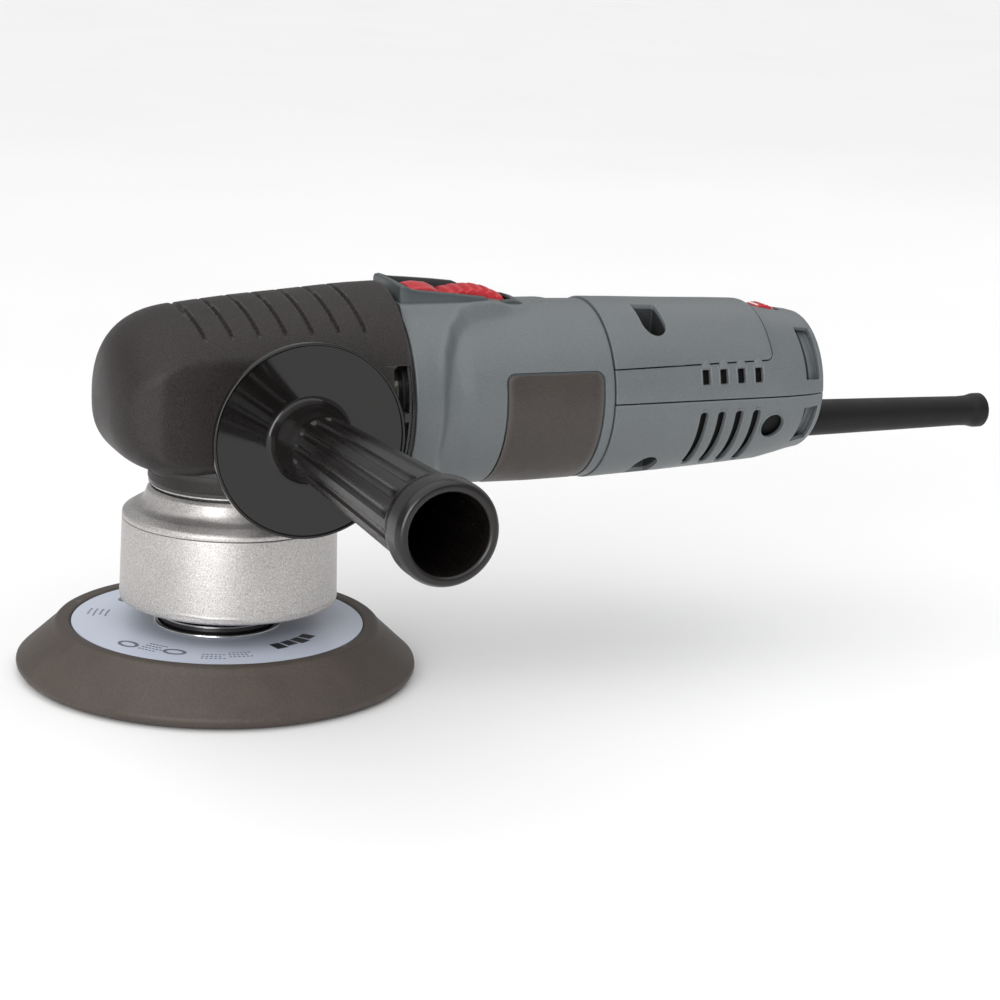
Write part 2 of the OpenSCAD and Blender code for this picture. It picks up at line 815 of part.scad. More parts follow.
module brush_holder(s) {
    color("goldenrod") on_brush_axis(s) difference() {
        union() {
            translate([-5, -6, 12]) cube([10, 12, 18]);
            translate([-7, -9, 27.5]) cube([14, 18, 1.6]);
        }
        translate([-3.5, -4.5, 11]) cube([7, 9, 17.8]);
    }
}

module left_brush_holder() {
    brush_holder(-1);
}

module right_brush_holder() {
    brush_holder(1);
}

module carbon_brushes() {
    color("black") for (s = [-1, 1]) on_brush_axis(s)
        translate([-3.4, -4.4, 10.9]) cube([6.8, 8.8, 11]);
}

// Helical wire swept as a closed six-sided tube
module coil_spring(r, wire, pitch, turns) {
    steps = 14 * turns;
    sides = 6;
    ring_pts = [for (i = [0:steps]) let (a = i * 360 / 14)
        for (j = [0:sides - 1]) let (b = j * 360 / sides, q = r + wire * cos(b))
            [q * cos(a), q * sin(a), pitch * i / 14 + wire * sin(b)]];
    walls = [for (i = [0:steps - 1]) for (j = [0:sides - 1])
        let (k = (j + 1) % sides)
            [i * sides + j, i * sides + k, (i + 1) * sides + k, (i + 1) * sides + j]];
    polyhedron(points = ring_pts, faces = concat(
        [[for (j = [sides - 1:-1:0]) j]], walls, [[for (j = [0:sides - 1]) steps * sides + j]]));
}

module brush_springs() {
    color("silver") for (s = [-1, 1]) on_brush_axis(s) translate([0, 0, 22.4])
        coil_spring(2.4, 0.35, 1.35, 4);
}

module switch_module() {
    color("black") difference() {
        union() {
            translate([165, -9, 121.5]) cube([20, 18, 10]);
            translate([168, -5, 131]) cube([8, 10, 2.4]);
        }
        for (x = [168.5, 181.5]) translate([x, -12, 124]) rotate([-90, 0, 0])
            cylinder(r = 1.5, h = 24);
    }
}

// Control board with its capacitor and the dial's potentiometer
module speed_control() {
    color("darkgreen") difference() {
        union() {
            translate([200, -14, 116]) cube([30, 28, 1.6]);
            translate([202, -10, 117.5]) cube([7, 20, 8]);
            translate([dial_x - 5, 5.4, 117.5]) cube([10, 3.6, 13.5]);
        }
        translate([dial_x, 0, dial_z]) rotate([90, 0, 0])
            cylinder(r = 2.05, h = 40, center = true);
    }
}

// ---- rear housing ----

module rear_form(t) {
    last = rear_profile[len(rear_profile) - 1];
    translate([0, 0, motor_z]) rotate([0, 90, 0]) rotate_extrude() polygon(concat(
        [[0, rear_profile[0][0] - (t > 0 ? 2 : 0)]],
        t > 0 ? [[rear_profile[0][1] - t, rear_profile[0][0] - 2]] : [],
        [for (p = rear_profile) [p[1] - t, p[0] - (p == last ? t : 0)]],
        [[0, rear_x - t]]));
}

module rear_shell() {
    difference() {
        rear_form(0);
        rear_form(wall);
    }
}

// Bosses shared by the shells: bearing web and screw posts
module bearing_web() {
    intersection() {
        motor_tube(rear_bearing_x - 1, rear_bearing_x + 8, 32.4, 13.55);
        translate([180, -50, 50]) cube([30, 100, 117 - 50]);
    }
}

module screw_posts() {
    for (s = [-1, 1]) translate([screw_x, s * 21, 0]) difference() {
        union() {
            cylinder_between(74, cover_z - 0.4, 5.2);
            translate([-1.2, s > 0 ? 4 : -14, 96]) cube([2.4, 10, 20]);
        }
        cylinder_between(70, 130, 1.6);
    }
}

// Access wells in the outer surface for the screws
module screw_wells() {
    for (s = [-1, 1]) translate([screw_x, s * 21, 0]) {
        cylinder_between(60, 86, 3.6);
        cylinder_between(126, 150, 3.6);
    }
}

module side_vents() {
    for (i = [0:vent_count - 1]) for (s = [-1, 1])
        translate([vent_x + vent_pitch * i - 1.5, s > 0 ? 17 : -47, 0]) {
            translate([0, 0, 76.5]) cube([3, 30, 23]);
            translate([0, s > 0 ? 6 : -6, 110.4]) cube([2.6, 30, 5.2]);
        }
}

// Air windows let into the rear rim
module rear_windows() {
    for (a = [22, 98, 200, 276]) on_motor_axis(rear_x - 8.4) rotate(a)
        rotate_extrude(angle = 58) translate([25.4, 0]) square([10, 2.6]);
}

module lower_zone() {
    translate([130, -60, 40]) cube([120, 120, split_z - 40]);
}

module cover_zone(grow) {
    translate([seam_x, -60, cover_z - grow])
        cube([cover_end - seam_x + grow, 120, 60]);
}

module rear_housing_lower() {
    color("dimgray") difference() {
        union() {
            intersection() {
                rear_shell();
                lower_zone();
            }
            intersection() {
                union() {
                    bearing_web();
                    screw_posts();
                }
                lower_zone();
                rear_form(1);
            }
            // saddle that carries the cord boot's flange
            intersection() {
                translate([228.4, -14, 76]) cube([9, 28, 20]);
                rear_form(1);
            }
        }
        side_vents();
        screw_wells();
        rear_windows();
        for (s = [-1, 1]) translate([216, s * 28, 92]) rotate([-90 * s, 0, 0])
            cylinder(r = 5, h = 12);
        translate([220, 0, boot_z]) rotate([0, 90, 0]) cylinder(r = 7.8, h = 30);
        translate([230.9, 0, boot_z]) rotate([0, 90, 0]) cylinder(r = 10.8, h = 3.7);
    }
}

module rear_housing_upper() {
    color("dimgray") difference() {
        union() {
            intersection() {
                rear_shell();
                translate([130, -60, split_z + 0.1]) cube([120, 120, 60]);
            }
            intersection() {
                union() {
                    bearing_web();
                    screw_posts();
                }
                translate([130, -60, split_z + 0.1]) cube([120, 120, 60]);
                rear_form(1);
            }
        }
        cover_zone(0.15);
        side_vents();
        rear_windows();
        translate([dial_x, 0, dial_z]) rotate([90, 0, 0])
            cylinder(r = dial_r + 0.6, h = 10.4, center = true);
    }
}

module top_cover() {
    color("dimgray") difference() {
        union() {
            intersection() {
                rear_shell();
                cover_zone(0);
            }
            for (s = [-1, 1]) intersection() {
                translate([screw_x, s * 21, 0]) cylinder_between(cover_z, 132, 5.2);
                rear_form(1);
            }
        }
        screw_wells();
        for (s = [-1, 1]) translate([screw_x, s * 21, 0]) cylinder_between(110, 130, 1.62);
    }
}

module rear_screws() {
    color("dimgray") for (s = [-1, 1]) translate([screw_x, s * 21, 0]) {
        translate([0, 0, 126]) rotate([180, 0, 0]) screw(3.2, 2, 1.58, 16);
        translate([0, 0, 86]) screw(3.2, 2, 1.58, 14);
    }
}

module cord_boot() {
    color("black") translate([0, 0, boot_z]) rotate([0, 90, 0]) difference() {
        rotate_extrude() polygon([
            [0, 231], [10.7, 231], [10.7, 234.5], [7.7, 234.5], [7.7, 243], [7.4, 250],
            [6.2, boot_end - 12], [6.4, boot_end - 7], [7.3, boot_end - 3],
            [7.3, boot_end - 1], [6.5, boot_end], [0, boot_end]]);
        translate([0, 0, 220]) cylinder(r = 3.9, h = 150);
    }
}

// ---- assembly ----

backing_pad();
pad_face();
backing_plate();
pad_label();
pad_stud();
pad_flange();
arbor();
spindle();
bevel_gear();
gear_key();
gear_clip();
eccentric_carrier();
counterweight();
counterweight_screws();
eccentric_bolt();
lower_arbor_bearing();
upper_arbor_bearing();
bearing_clip();
armature_shaft();
pinion_gear();
armature_core();
armature_windings();
commutator();
cooling_fan();
switch_slider();
switch_link();
speed_dial();
gear_case();
head_cover();
bearing_retainer();
felt_seal();
lower_spindle_bearing();
upper_spindle_bearing();
shroud_cap();
shroud_skirt();
shroud_screws();
handle_bushings();
side_handle();
handle_stud();
front_motor_bearing();
rear_motor_bearing();
bearing_sleeve();
fan_baffle();
motor_housing();
case_screws();
badge_panel();
switch_bezel();
stator_core();
field_coils();
left_brush_holder();
right_brush_holder();
carbon_brushes();
brush_springs();
switch_module();
speed_control();
rear_housing_lower();
rear_housing_upper();
top_cover();
rear_screws();
cord_boot();
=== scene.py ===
"""Looks of the dual action polisher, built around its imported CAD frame.

Sizes are millimetres until a mesh is made, then metres. +X runs to the rear along
the motor, +Z up the spindle, and the side handle points towards -Y. Angles round the
motor axis start at the top and grow towards -Y.
"""
import math

import bmesh
import bpy
import numpy as np
from mathutils import Matrix, Vector


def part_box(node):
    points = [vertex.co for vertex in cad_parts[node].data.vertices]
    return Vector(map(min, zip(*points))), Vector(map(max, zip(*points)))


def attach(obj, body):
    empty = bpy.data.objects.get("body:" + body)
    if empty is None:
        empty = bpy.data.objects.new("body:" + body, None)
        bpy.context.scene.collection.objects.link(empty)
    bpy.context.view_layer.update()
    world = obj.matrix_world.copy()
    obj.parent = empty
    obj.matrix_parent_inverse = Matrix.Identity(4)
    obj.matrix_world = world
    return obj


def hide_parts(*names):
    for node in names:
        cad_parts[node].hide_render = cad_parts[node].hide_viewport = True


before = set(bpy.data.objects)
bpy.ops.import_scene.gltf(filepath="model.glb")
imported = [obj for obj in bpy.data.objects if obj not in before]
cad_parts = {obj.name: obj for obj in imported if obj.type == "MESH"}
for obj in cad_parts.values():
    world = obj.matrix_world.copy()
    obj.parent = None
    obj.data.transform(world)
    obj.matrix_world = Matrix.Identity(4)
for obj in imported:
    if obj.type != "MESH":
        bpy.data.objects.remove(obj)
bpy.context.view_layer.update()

MM = 0.001


# ---- places taken from the frame ----

def lowest(node):
    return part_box(node)[0] / MM


def highest(node):
    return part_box(node)[1] / MM


def middle(node):
    return (lowest(node) + highest(node)) / 2


MOTOR_Z = middle("armature_core").z
HANDLE_X, HANDLE_Z = middle("handle_stud").x, middle("handle_stud").z
HANDLE_END = -lowest("side_handle").y
GUARD_R = highest("side_handle").x - HANDLE_X
PAD_X = middle("pad_face").x
PAD_R = highest("backing_pad").x - PAD_X
PAD_TOP = highest("backing_pad").z
PAD_LOW = lowest("backing_pad").z
LABEL_R = highest("pad_label").x - PAD_X
LABEL_Z = highest("pad_label").z
FLANGE_R = highest("pad_flange").x - PAD_X
FLANGE_Z0, FLANGE_Z1 = lowest("pad_flange").z, highest("pad_flange").z
SKIRT_R = highest("shroud_skirt").x
SKIRT_Z = lowest("shroud_skirt").z
SEAM_Z = highest("shroud_skirt").z
CAP_R = highest("shroud_cap").x
CAP_TOP = highest("shroud_cap").z
NECK_Z = lowest("gear_case").z
NECK_R = -lowest("gear_case").x
MOTOR_FRONT = lowest("motor_housing").x
SEAM_X = highest("motor_housing").x
REAR_FRONT = lowest("rear_housing_lower").x
REAR_X = highest("rear_housing_lower").x
COVER_END = highest("top_cover").x
BADGE_X0, BADGE_X1 = lowest("badge_panel").x, highest("badge_panel").x
BADGE_TOP = highest("badge_panel").z
DIAL = middle("speed_dial")
DIAL_INSET, DIAL_HALF = 1.2, 4.5
DIAL_R = highest("speed_dial").x - DIAL.x - DIAL_INSET
BOOT_Z = middle("cord_boot").z
SCREW_X = middle("rear_screws").x
COVER_Z = lowest("top_cover").z


# ---- meshes, all sizes in millimetres ----

SHARP_DEGREES = 32


def finish_mesh(mesh):
    work = bmesh.new()
    work.from_mesh(mesh)
    bmesh.ops.remove_doubles(work, verts=work.verts, dist=1e-7)
    bmesh.ops.recalc_face_normals(work, faces=work.faces)
    work.to_mesh(mesh)
    work.free()
    mesh.shade_smooth()
    mesh.set_sharp_from_angle(angle=math.radians(SHARP_DEGREES))


def piece_of(name, solid, material=None):
    """A Blender object from (points in mm, faces)."""
    points, faces = solid
    mesh = bpy.data.meshes.new(name)
    mesh.from_pydata((np.asarray(points, float) * MM).tolist(), [], faces)
    if material:
        mesh.materials.append(material)
    piece = bpy.data.objects.new(name, mesh)
    bpy.context.scene.collection.objects.link(piece)
    finish_mesh(mesh)
    return piece


def joined(solids):
    points, faces = [], []
    for more_points, more_faces in solids:
        faces += [tuple(i + len(points) for i in face) for face in more_faces]
        points += [tuple(p) for p in more_points]
    return points, faces


def bake(piece):
    """The piece's own mesh becomes what its modifiers make of it."""
    graph = bpy.context.evaluated_depsgraph_get()
    baked = bpy.data.meshes.new_from_object(piece.evaluated_get(graph))
    piece.modifiers.clear()
    piece.data = baked
    finish_mesh(baked)


def boolean(piece, solids, operation="DIFFERENCE"):
    tool = piece_of("tool", joined(solids))
    step = piece.modifiers.new("boolean", "BOOLEAN")
    step.operation, step.solver, step.object = operation, "EXACT", tool
    bake(piece)
    bpy.data.objects.remove(tool)


def soften(piece, width, angle):
    """Rounds the edges of a finished piece that are sharper than angle, in degrees."""
    step = piece.modifiers.new("soften", "BEVEL")
    step.width, step.segments = width * MM, 2
    step.limit_method, step.angle_limit = "ANGLE", math.radians(angle)
    step.use_clamp_overlap = True
    bake(piece)


def lofted(rings):
    """The closed solid through rings of points, with flat ends."""
    rows, cols = len(rings), len(rings[0])
    faces = [(i * cols + j, i * cols + (j + 1) % cols, (i + 1) * cols + (j + 1) % cols,
              (i + 1) * cols + j) for i in range(rows - 1) for j in range(cols)]
    faces += [tuple(range(cols)), tuple((rows - 1) * cols + j for j in range(cols))]
    return [tuple(point) for ring in rings for point in ring], faces


def prism(outline, axis, low, high):
    """The outline pushed along an axis; it is (y, z), (x, z) or (x, y) for x, y and z."""
    place = {
        "x": lambda a, b, c: (c, a, b),
        "y": lambda a, b, c: (a, c, b),
        "z": lambda a, b, c: (a, b, c),
    }[axis]
    return lofted([[place(a, b, c) for a, b in outline] for c in (low, high)])


def sideways(outline, side, near, far):
    """An (x, z) outline pushed along Y from near to far, on the side -1 or 1."""
    return prism(outline, "y", *sorted((side * near, side * far)))


def filleted(corners, steps=6):
    """A closed outline from (a, b) or (a, b, radius) corners, with the arcs put in."""
    points = []
    n = len(corners)
    for i, corner in enumerate(corners):
        here = np.array(corner[:2], float)
        radius = corner[2] if len(corner) > 2 else 0
        before = np.array(corners[i - 1][:2], float) - here
        after = np.array(corners[(i + 1) % n][:2], float) - here
        u, v = before / np.linalg.norm(before), after / np.linalg.norm(after)
        half = math.acos(max(-1, min(1, float(u @ v)))) / 2
        if radius <= 0 or abs(math.sin(half)) > 0.999:
            points.append(tuple(here))
            continue
        reach = min(radius / math.tan(half),
                    0.49 * np.linalg.norm(before), 0.49 * np.linalg.norm(after))
        radius = reach * math.tan(half)
        centre = here + (u + v) / np.linalg.norm(u + v) * radius / math.sin(half)
        start, end = here + u * reach - centre, here + v * reach - centre
        turn = math.atan2(start[0] * end[1] - start[1] * end[0], float(start @ end))
        for k in range(steps + 1):
            c, s = math.cos(turn * k / steps), math.sin(turn * k / steps)
            points.append((centre[0] + start[0] * c - start[1] * s,
                           centre[1] + start[0] * s + start[1] * c))
    return points


def rounded_box(a0, a1, b0, b1, radius, steps=6):
    return filleted([(a0, b0, radius), (a1, b0, radius), (a1, b1, radius),
                     (a0, b1, radius)], steps)


def circle(a, b, radius, count=40):
    return [(a + radius * math.cos(2 * math.pi * k / count),
             b + radius * math.sin(2 * math.pi * k / count)) for k in range(count)]


def full_turn(count):
    return np.arange(count) * 2 * math.pi / count


def turned(outline, axis, centre, segments, shape=None):
    """A solid turned from a closed (radius, along) outline about an axis through centre.
    The axis is x, z or -y. shape(radius, along, turn) may change a radius."""
    turns = full_turn(segments)
    rings = []
    for radius, along in outline:
        r = np.full(segments, float(radius))
        if shape and radius > 0:
            r = shape(r, along, turns)
        a, b, c = r * np.cos(turns), r * np.sin(turns), np.full(segments, float(along))
        rings.append({"z": (a, b, c), "x": (c, -b, a), "-y": (a, -c, b)}[axis])
    points = np.array(rings).transpose(0, 2, 1) + np.array(centre, float)
    n = len(outline)
    faces = [(i * segments + j, i * segments + (j + 1) % segments,
              (i + 1) % n * segments + (j + 1) % segments, (i + 1) % n * segments + j)
             for i in range(n) for j in range(segments)]
    return points.reshape(-1, 3), faces


def between(outer, inner, closed):
    """The closed solid between two grids of points; closed grids wrap round."""
    rows, cols = outer.shape[:2]
    span = cols if closed else cols - 1

    def at(layer, i, j):
        return (layer * rows + i) * cols + j % cols

    faces = []
    for j in range(span):
        for i in range(rows - 1):
            faces.append((at(0, i, j), at(0, i + 1, j), at(0, i + 1, j + 1), at(0, i, j + 1)))
            faces.append((at(1, i, j), at(1, i, j + 1), at(1, i + 1, j + 1), at(1, i + 1, j)))
        for i in (0, rows - 1):
            faces.append((at(0, i, j), at(0, i, j + 1), at(1, i, j + 1), at(1, i, j)))
    if not closed:
        for i in range(rows - 1):
            for j in (0, cols - 1):
                faces.append((at(0, i, j), at(0, i + 1, j), at(1, i + 1, j), at(1, i, j)))
    return np.concatenate([outer.reshape(-1, 3), inner.reshape(-1, 3)]), faces


def round_motor(x, angle, radius):
    """Points at a radius round the motor axis."""
    x, angle, radius = np.broadcast_arrays(x, angle, radius)
    return np.stack([x, -radius * np.sin(angle), MOTOR_Z + radius * np.cos(angle)], -1)


def wall(radius, stops, angles, thickness, closed=True):
    """A wall whose outside lies at radius(x, angle) round the motor axis."""
    x, angle = np.meshgrid(stops, angles, indexing="ij")
    r = radius(x, angle)
    return between(round_motor(x, angle, r), round_motor(x, angle, r - thickness), closed)


def stops_between(low, high, step, edge):
    """Stations from low to high, with closer ones at both edges."""
    inner = np.arange(low + 2 * edge, high - 2 * edge, step)
    return np.concatenate([[low, low + 0.25 * edge, low + edge], inner,
                           [high - edge, high - 0.25 * edge, high]])


def eased(t):
    t = np.clip(t, 0, 1)
    return t * t * (3 - 2 * t)


def edge_drop(distance, radius):
    """How far a surface falls away within a rounding radius of its edge."""
    d = np.clip(distance, 0, radius)
    return radius - np.sqrt(np.maximum(radius ** 2 - (radius - d) ** 2, 0))


def ridge(path, normals, half_width, height, sink=0.3):
    """A small half-round bead along a path that lies on a surface."""
    path, normals = np.asarray(path, float), np.asarray(normals, float)
    along = np.gradient(path, axis=0)
    side = np.cross(along, normals)
    side /= np.linalg.norm(side, axis=1, keepdims=True)
    turns = np.linspace(0, math.pi, 7)
    rings = [path + side * half_width * math.cos(t) + normals * height * math.sin(t)
             for t in turns]
    rings += [path - side * half_width - normals * sink, path + side * half_width - normals * sink]
    return lofted(np.array(rings).transpose(1, 0, 2))


def add_solids(piece, solids):
    """Adds more closed solids to a finished piece."""
    extra = piece_of("extra", joined(solids), piece.data.materials[0])
    work = bmesh.new()
    work.from_mesh(piece.data)
    work.from_mesh(extra.data)
    work.to_mesh(piece.data)
    work.free()
    bpy.data.objects.remove(extra)
    finish_mesh(piece.data)


def put(piece, body, slot, *nodes):
    """Rides on a body and stands for CAD nodes; slot is not used."""
    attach(piece, body)
    if nodes:
        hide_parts(*nodes)
    return piece


def add_piece(name, solid, body, slot, *nodes):
    """A piece that needs no more work, in its slot's material."""
    return put(piece_of(name, solid, MATERIALS[slot]), body, slot, *nodes)


# ---- materials ----

def linear(red, green, blue):
    """An sRGB colour, 0 to 255, as the linear RGBA a shader takes."""
    def one(value):
        value /= 255
        return value / 12.92 if value <= 0.04045 else ((value + 0.055) / 1.055) ** 2.4
    return (one(red), one(green), one(blue), 1)


class Nodes:
    """Builds one material's node tree."""

    def __init__(self, name):
        self.material = bpy.data.materials.new(name)
        self.material.use_nodes = True
        self.tree = self.material.node_tree
        self.shader = self.tree.nodes["Principled BSDF"]
        self.place = self.tree.nodes.new("ShaderNodeTexCoord").outputs["Object"]

    def add(self, kind, links=(), **values):
        node = self.tree.nodes.new(kind)
        for key, value in values.items():
            setattr(node, key, value)
        for socket, source in dict(links).items():
            if isinstance(source, bpy.types.NodeSocket):
                self.tree.links.new(source, node.inputs[socket])
            else:
                node.inputs[socket].default_value = source
        return node

    def stretched(self, scale):
        return self.add("ShaderNodeMapping", {"Vector": self.place, "Scale": scale}).outputs[0]

    def noise(self, size, detail=2.0, rough=0.5, place=None):
        """Noise with features about size millimetres across."""
        return self.add("ShaderNodeTexNoise", {
            "Vector": place or self.place, "Scale": 1 / (size * MM), "Detail": detail,
            "Roughness": rough}).outputs["Fac"]

    def ranged(self, value, low, high, to_low, to_high):
        return self.add("ShaderNodeMapRange", {
            "Value": value, "From Min": low, "From Max": high,
            "To Min": to_low, "To Max": to_high}).outputs["Result"]

    def times(self, a, b):
        return self.add("ShaderNodeMath", {0: a, 1: b}, operation="MULTIPLY").outputs[0]

    def mixed(self, amount, a, b):
        node = self.add("ShaderNodeMix", data_type="RGBA")
        for index, source in ((0, amount), (6, a), (7, b)):
            if isinstance(source, bpy.types.NodeSocket):
                self.tree.links.new(source, node.inputs[index])
            else:
                node.inputs[index].default_value = source
        return node.outputs[2]

    def set(self, **values):
        for key, value in values.items():
            socket = self.shader.inputs[key.replace("_", " ")]
            if isinstance(value, bpy.types.NodeSocket):
                self.tree.links.new(value, socket)
            else:
                socket.default_value = value

    def bump(self, height, depth):
        """depth is in millimetres."""
        node = self.add("ShaderNodeBump", {
            "Height": height, "Distance": depth * MM, "Strength": 1.0})
        self.tree.links.new(node.outputs[0], self.shader.inputs["Normal"])


MATERIALS = {}


def surface(name, colour, rough, spread=0.08, metal=0.0, speckle=0.1, grain=0.4,
            mottle=0.08, patch=14, depth=0.03, wear_and_edge_highlight=0.25, shine=0.5, stretch=(1, 1, 1)):
    """A moulded, cast or turned surface: fine grain in colour and height, broad soft
    variation in colour and gloss, and edges lighter as wear and painted highlight. Filed in
    MATERIALS."""
    n = Nodes(name)
    base = linear(*colour)
    place = n.stretched(stretch)
    fine = n.noise(grain, place=place)
    broad = n.noise(patch, detail=4, rough=0.6)
    tone = n.times(n.ranged(fine, 0.3, 0.7, 1 - speckle, 1 + speckle),
                   n.ranged(broad, 0.3, 0.7, 1 - mottle, 1 + mottle))
    toned = n.add("ShaderNodeHueSaturation", {"Color": base, "Value": tone}).outputs[0]
    # convex edges are mixed towards a lighter colour: part wear, part painted edge highlight
    if wear_and_edge_highlight:
        edge = n.add("ShaderNodeNewGeometry").outputs["Pointiness"]
        worn_and_highlit = n.times(n.ranged(edge, 0.515, 0.58, 0, 1), wear_and_edge_highlight)
        light = tuple(min(1, 0.12 + c * 1.6) for c in base[:3]) + (1,)
        toned = n.mixed(worn_and_highlit, toned, light)
    n.set(Base_Color=toned, Metallic=metal,
          Roughness=n.ranged(broad, 0.25, 0.75, max(0.02, rough - spread), rough + spread),
          Specular_IOR_Level=shine)
    if depth:
        n.bump(fine, depth)
    MATERIALS[name] = n.material
    return n.material


surface("pad_urethane", (70, 62, 56), 0.55, mottle=0.14, patch=16, speckle=0.16, grain=0.6,
        depth=0.1, stretch=(1, 1, 0.4))
surface("vinyl", (44, 41, 40), 0.5, depth=0.05, grain=0.8)
surface("black_nylon", (7, 7, 7), 0.6, shine=0.2)
surface("label_film", (200, 207, 222), 0.3, spread=0.004, speckle=0.01, mottle=0.004, patch=60,
        depth=0, wear_and_edge_highlight=0)
surface("bright_steel", (205, 205, 205), 0.2, metal=1, speckle=0.06, grain=0.15, depth=0.004,
        stretch=(1, 1, 6))
surface("dark_steel", (52, 50, 50), 0.3, metal=0.8, depth=0.006)
surface("cast_alloy", (190, 187, 185), 0.44, metal=0.85, speckle=0.3, grain=0.45, mottle=0.07,
        patch=22, depth=0.08, wear_and_edge_highlight=0.2)
surface("black_alloy", (14, 13, 13), 0.3, speckle=0.2, depth=0.02)
surface("bearing_steel", (170, 170, 172), 0.18, metal=1, depth=0.003)
surface("gear_steel", (120, 118, 116), 0.3, metal=1, depth=0.01)
surface("lamination", (96, 94, 92), 0.42, metal=0.9, speckle=0.25, grain=0.6, depth=0.02,
        stretch=(1, 0.05, 0.05))
surface("copper", (176, 96, 52), 0.32, metal=1, speckle=0.2, grain=0.6, depth=0.08,
        stretch=(0.1, 1, 1))
surface("brass", (188, 150, 84), 0.28, metal=1, depth=0.006)
surface("carbon", (34, 34, 36), 0.6, depth=0.02)
surface("felt", (120, 112, 100), 0.95, speckle=0.3, grain=0.5, depth=0.2)
surface("black_cover", (42, 38, 37), 0.46, speckle=0.5, grain=0.45, mottle=0.06, patch=18,
        depth=0.18, wear_and_edge_highlight=0.2, shine=0.28)
surface("gloss_black", (13, 11, 10), 0.07, spread=0.02, speckle=0.05, mottle=0.1, depth=0.001,
        wear_and_edge_highlight=0.05)
surface("grip_black", (16, 13, 12), 0.26, spread=0.05, mottle=0.1, depth=0.012, wear_and_edge_highlight=0.1)
surface("gray_plastic", (97, 102, 104), 0.42, speckle=0.14, mottle=0.04, patch=25, depth=0.06,
        wear_and_edge_highlight=0.12)
surface("bezel_plastic", (52, 60, 62), 0.4, depth=0.02)
surface("brown_panel", (58, 52, 48), 0.45, speckle=0.3, grain=0.45, depth=0.06, wear_and_edge_highlight=0.2)
surface("red_plastic", (178, 20, 32), 0.32, speckle=0.06, depth=0.015, wear_and_edge_highlight=0.15)
surface("boot_rubber", (15, 14, 15), 0.5, speckle=0.15, depth=0.03, wear_and_edge_highlight=0.15, shine=0.3)
surface("white_nylon", (222, 220, 212), 0.42, depth=0.01)
surface("board", (36, 92, 58), 0.45, speckle=0.15, depth=0.02)


def dress_cad_nodes():
    """Every CAD node that stays in view gets its slot's material."""
    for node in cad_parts.values():
        for slot in node.material_slots:
            slot.material = MATERIALS[slot.material.name.split(".")[0]]


# ---- backing pad ----

RIM_R = LABEL_R + 5.0


def build_pad():
    rim_in, rim_top = LABEL_R + 0.25, PAD_TOP + 0.6
    recess_r, recess_z = LABEL_R + 1.6, PAD_TOP - 6.4
    outline = filleted([
        (0.01, PAD_LOW), (PAD_R - 1.8, PAD_LOW, 1.0), (PAD_R, PAD_LOW + 2.6, 1.6),
        (PAD_R - 0.3, PAD_LOW + 4.0, 1.2), (PAD_R - 3.4, PAD_LOW + 6.8, 8),
        (RIM_R + 2.6, rim_top - 2.6, 6), (RIM_R + 0.6, rim_top, 2.0),
        (rim_in + 1.0, rim_top, 1.4), (rim_in, PAD_TOP - 0.3, 0.2),
        (recess_r, PAD_TOP - 0.6), (recess_r, recess_z), (0.01, recess_z)])

    def worked(r, along, turns):
        """Moulded foam isn't quite even: a very slight waviness."""
        wave = np.sin(7 * turns + 0.35 * along) + 0.6 * np.sin(17 * turns - 0.5 * along)
        return r + 0.06 * wave * (r > LABEL_R)

    pad = add_piece("pad_foam", turned(outline, "z", (PAD_X, 0, 0), 192, worked),
                    "pad", "pad_urethane", "backing_pad")
    face = filleted([(0.01, 0.02), (PAD_R - 3.8, 0.02, 0.3), (PAD_R - 3.4, PAD_LOW),
                     (0.01, PAD_LOW)])
    add_piece("pad_loops", turned(face, "z", (PAD_X, 0, 0), 144), "pad", "vinyl", "pad_face")

    hub = filleted([
        (7, FLANGE_Z0 + 0.1), (FLANGE_R, FLANGE_Z0 + 0.1), (FLANGE_R, FLANGE_Z0 + 1.6, 0.4),
        (FLANGE_R - 1.4, FLANGE_Z0 + 2.2, 0.4), (FLANGE_R - 3.6, FLANGE_Z0 + 2.2, 0.3),
        (FLANGE_R - 4.2, FLANGE_Z1, 0.4), (12, FLANGE_Z1, 0.4), (11.4, FLANGE_Z1 - 0.8, 0.3),
        (7, FLANGE_Z1 - 0.8)])
    add_piece("pad_hub", turned(hub, "z", (PAD_X, 0, 0), 120), "pad", "dark_steel", "pad_flange")

    rings = []
    for radius, height in ((FLANGE_R + 1.2, LABEL_Z + 0.5), (FLANGE_R - 0.3, FLANGE_Z0 + 1.9),
                           (FLANGE_R - 4.6, FLANGE_Z1 + 0.1)):
        ring = [(radius + 0.9 * math.cos(t), height + 0.6 * math.sin(t))
                for t in np.linspace(0, 2 * math.pi, 12, endpoint=False)]
        rings.append(turned(ring, "z", (PAD_X, 0, 0), 120))
    add_piece("hub_rings", joined(rings), "pad", "bright_steel")


def label_mark(radius, turn, half_round, half_across):
    """A flat four-cornered mark printed on the label, sized round it and across it."""
    corners = []
    for k in range(4):
        t = (k + 0.5) * math.pi / 2
        a, r = turn + half_round * math.cos(t) / radius, radius + half_across * math.sin(t)
        corners.append((PAD_X + r * math.cos(a), r * math.sin(a)))
    return prism(corners, "z", LABEL_Z - 0.05, LABEL_Z + 0.08)


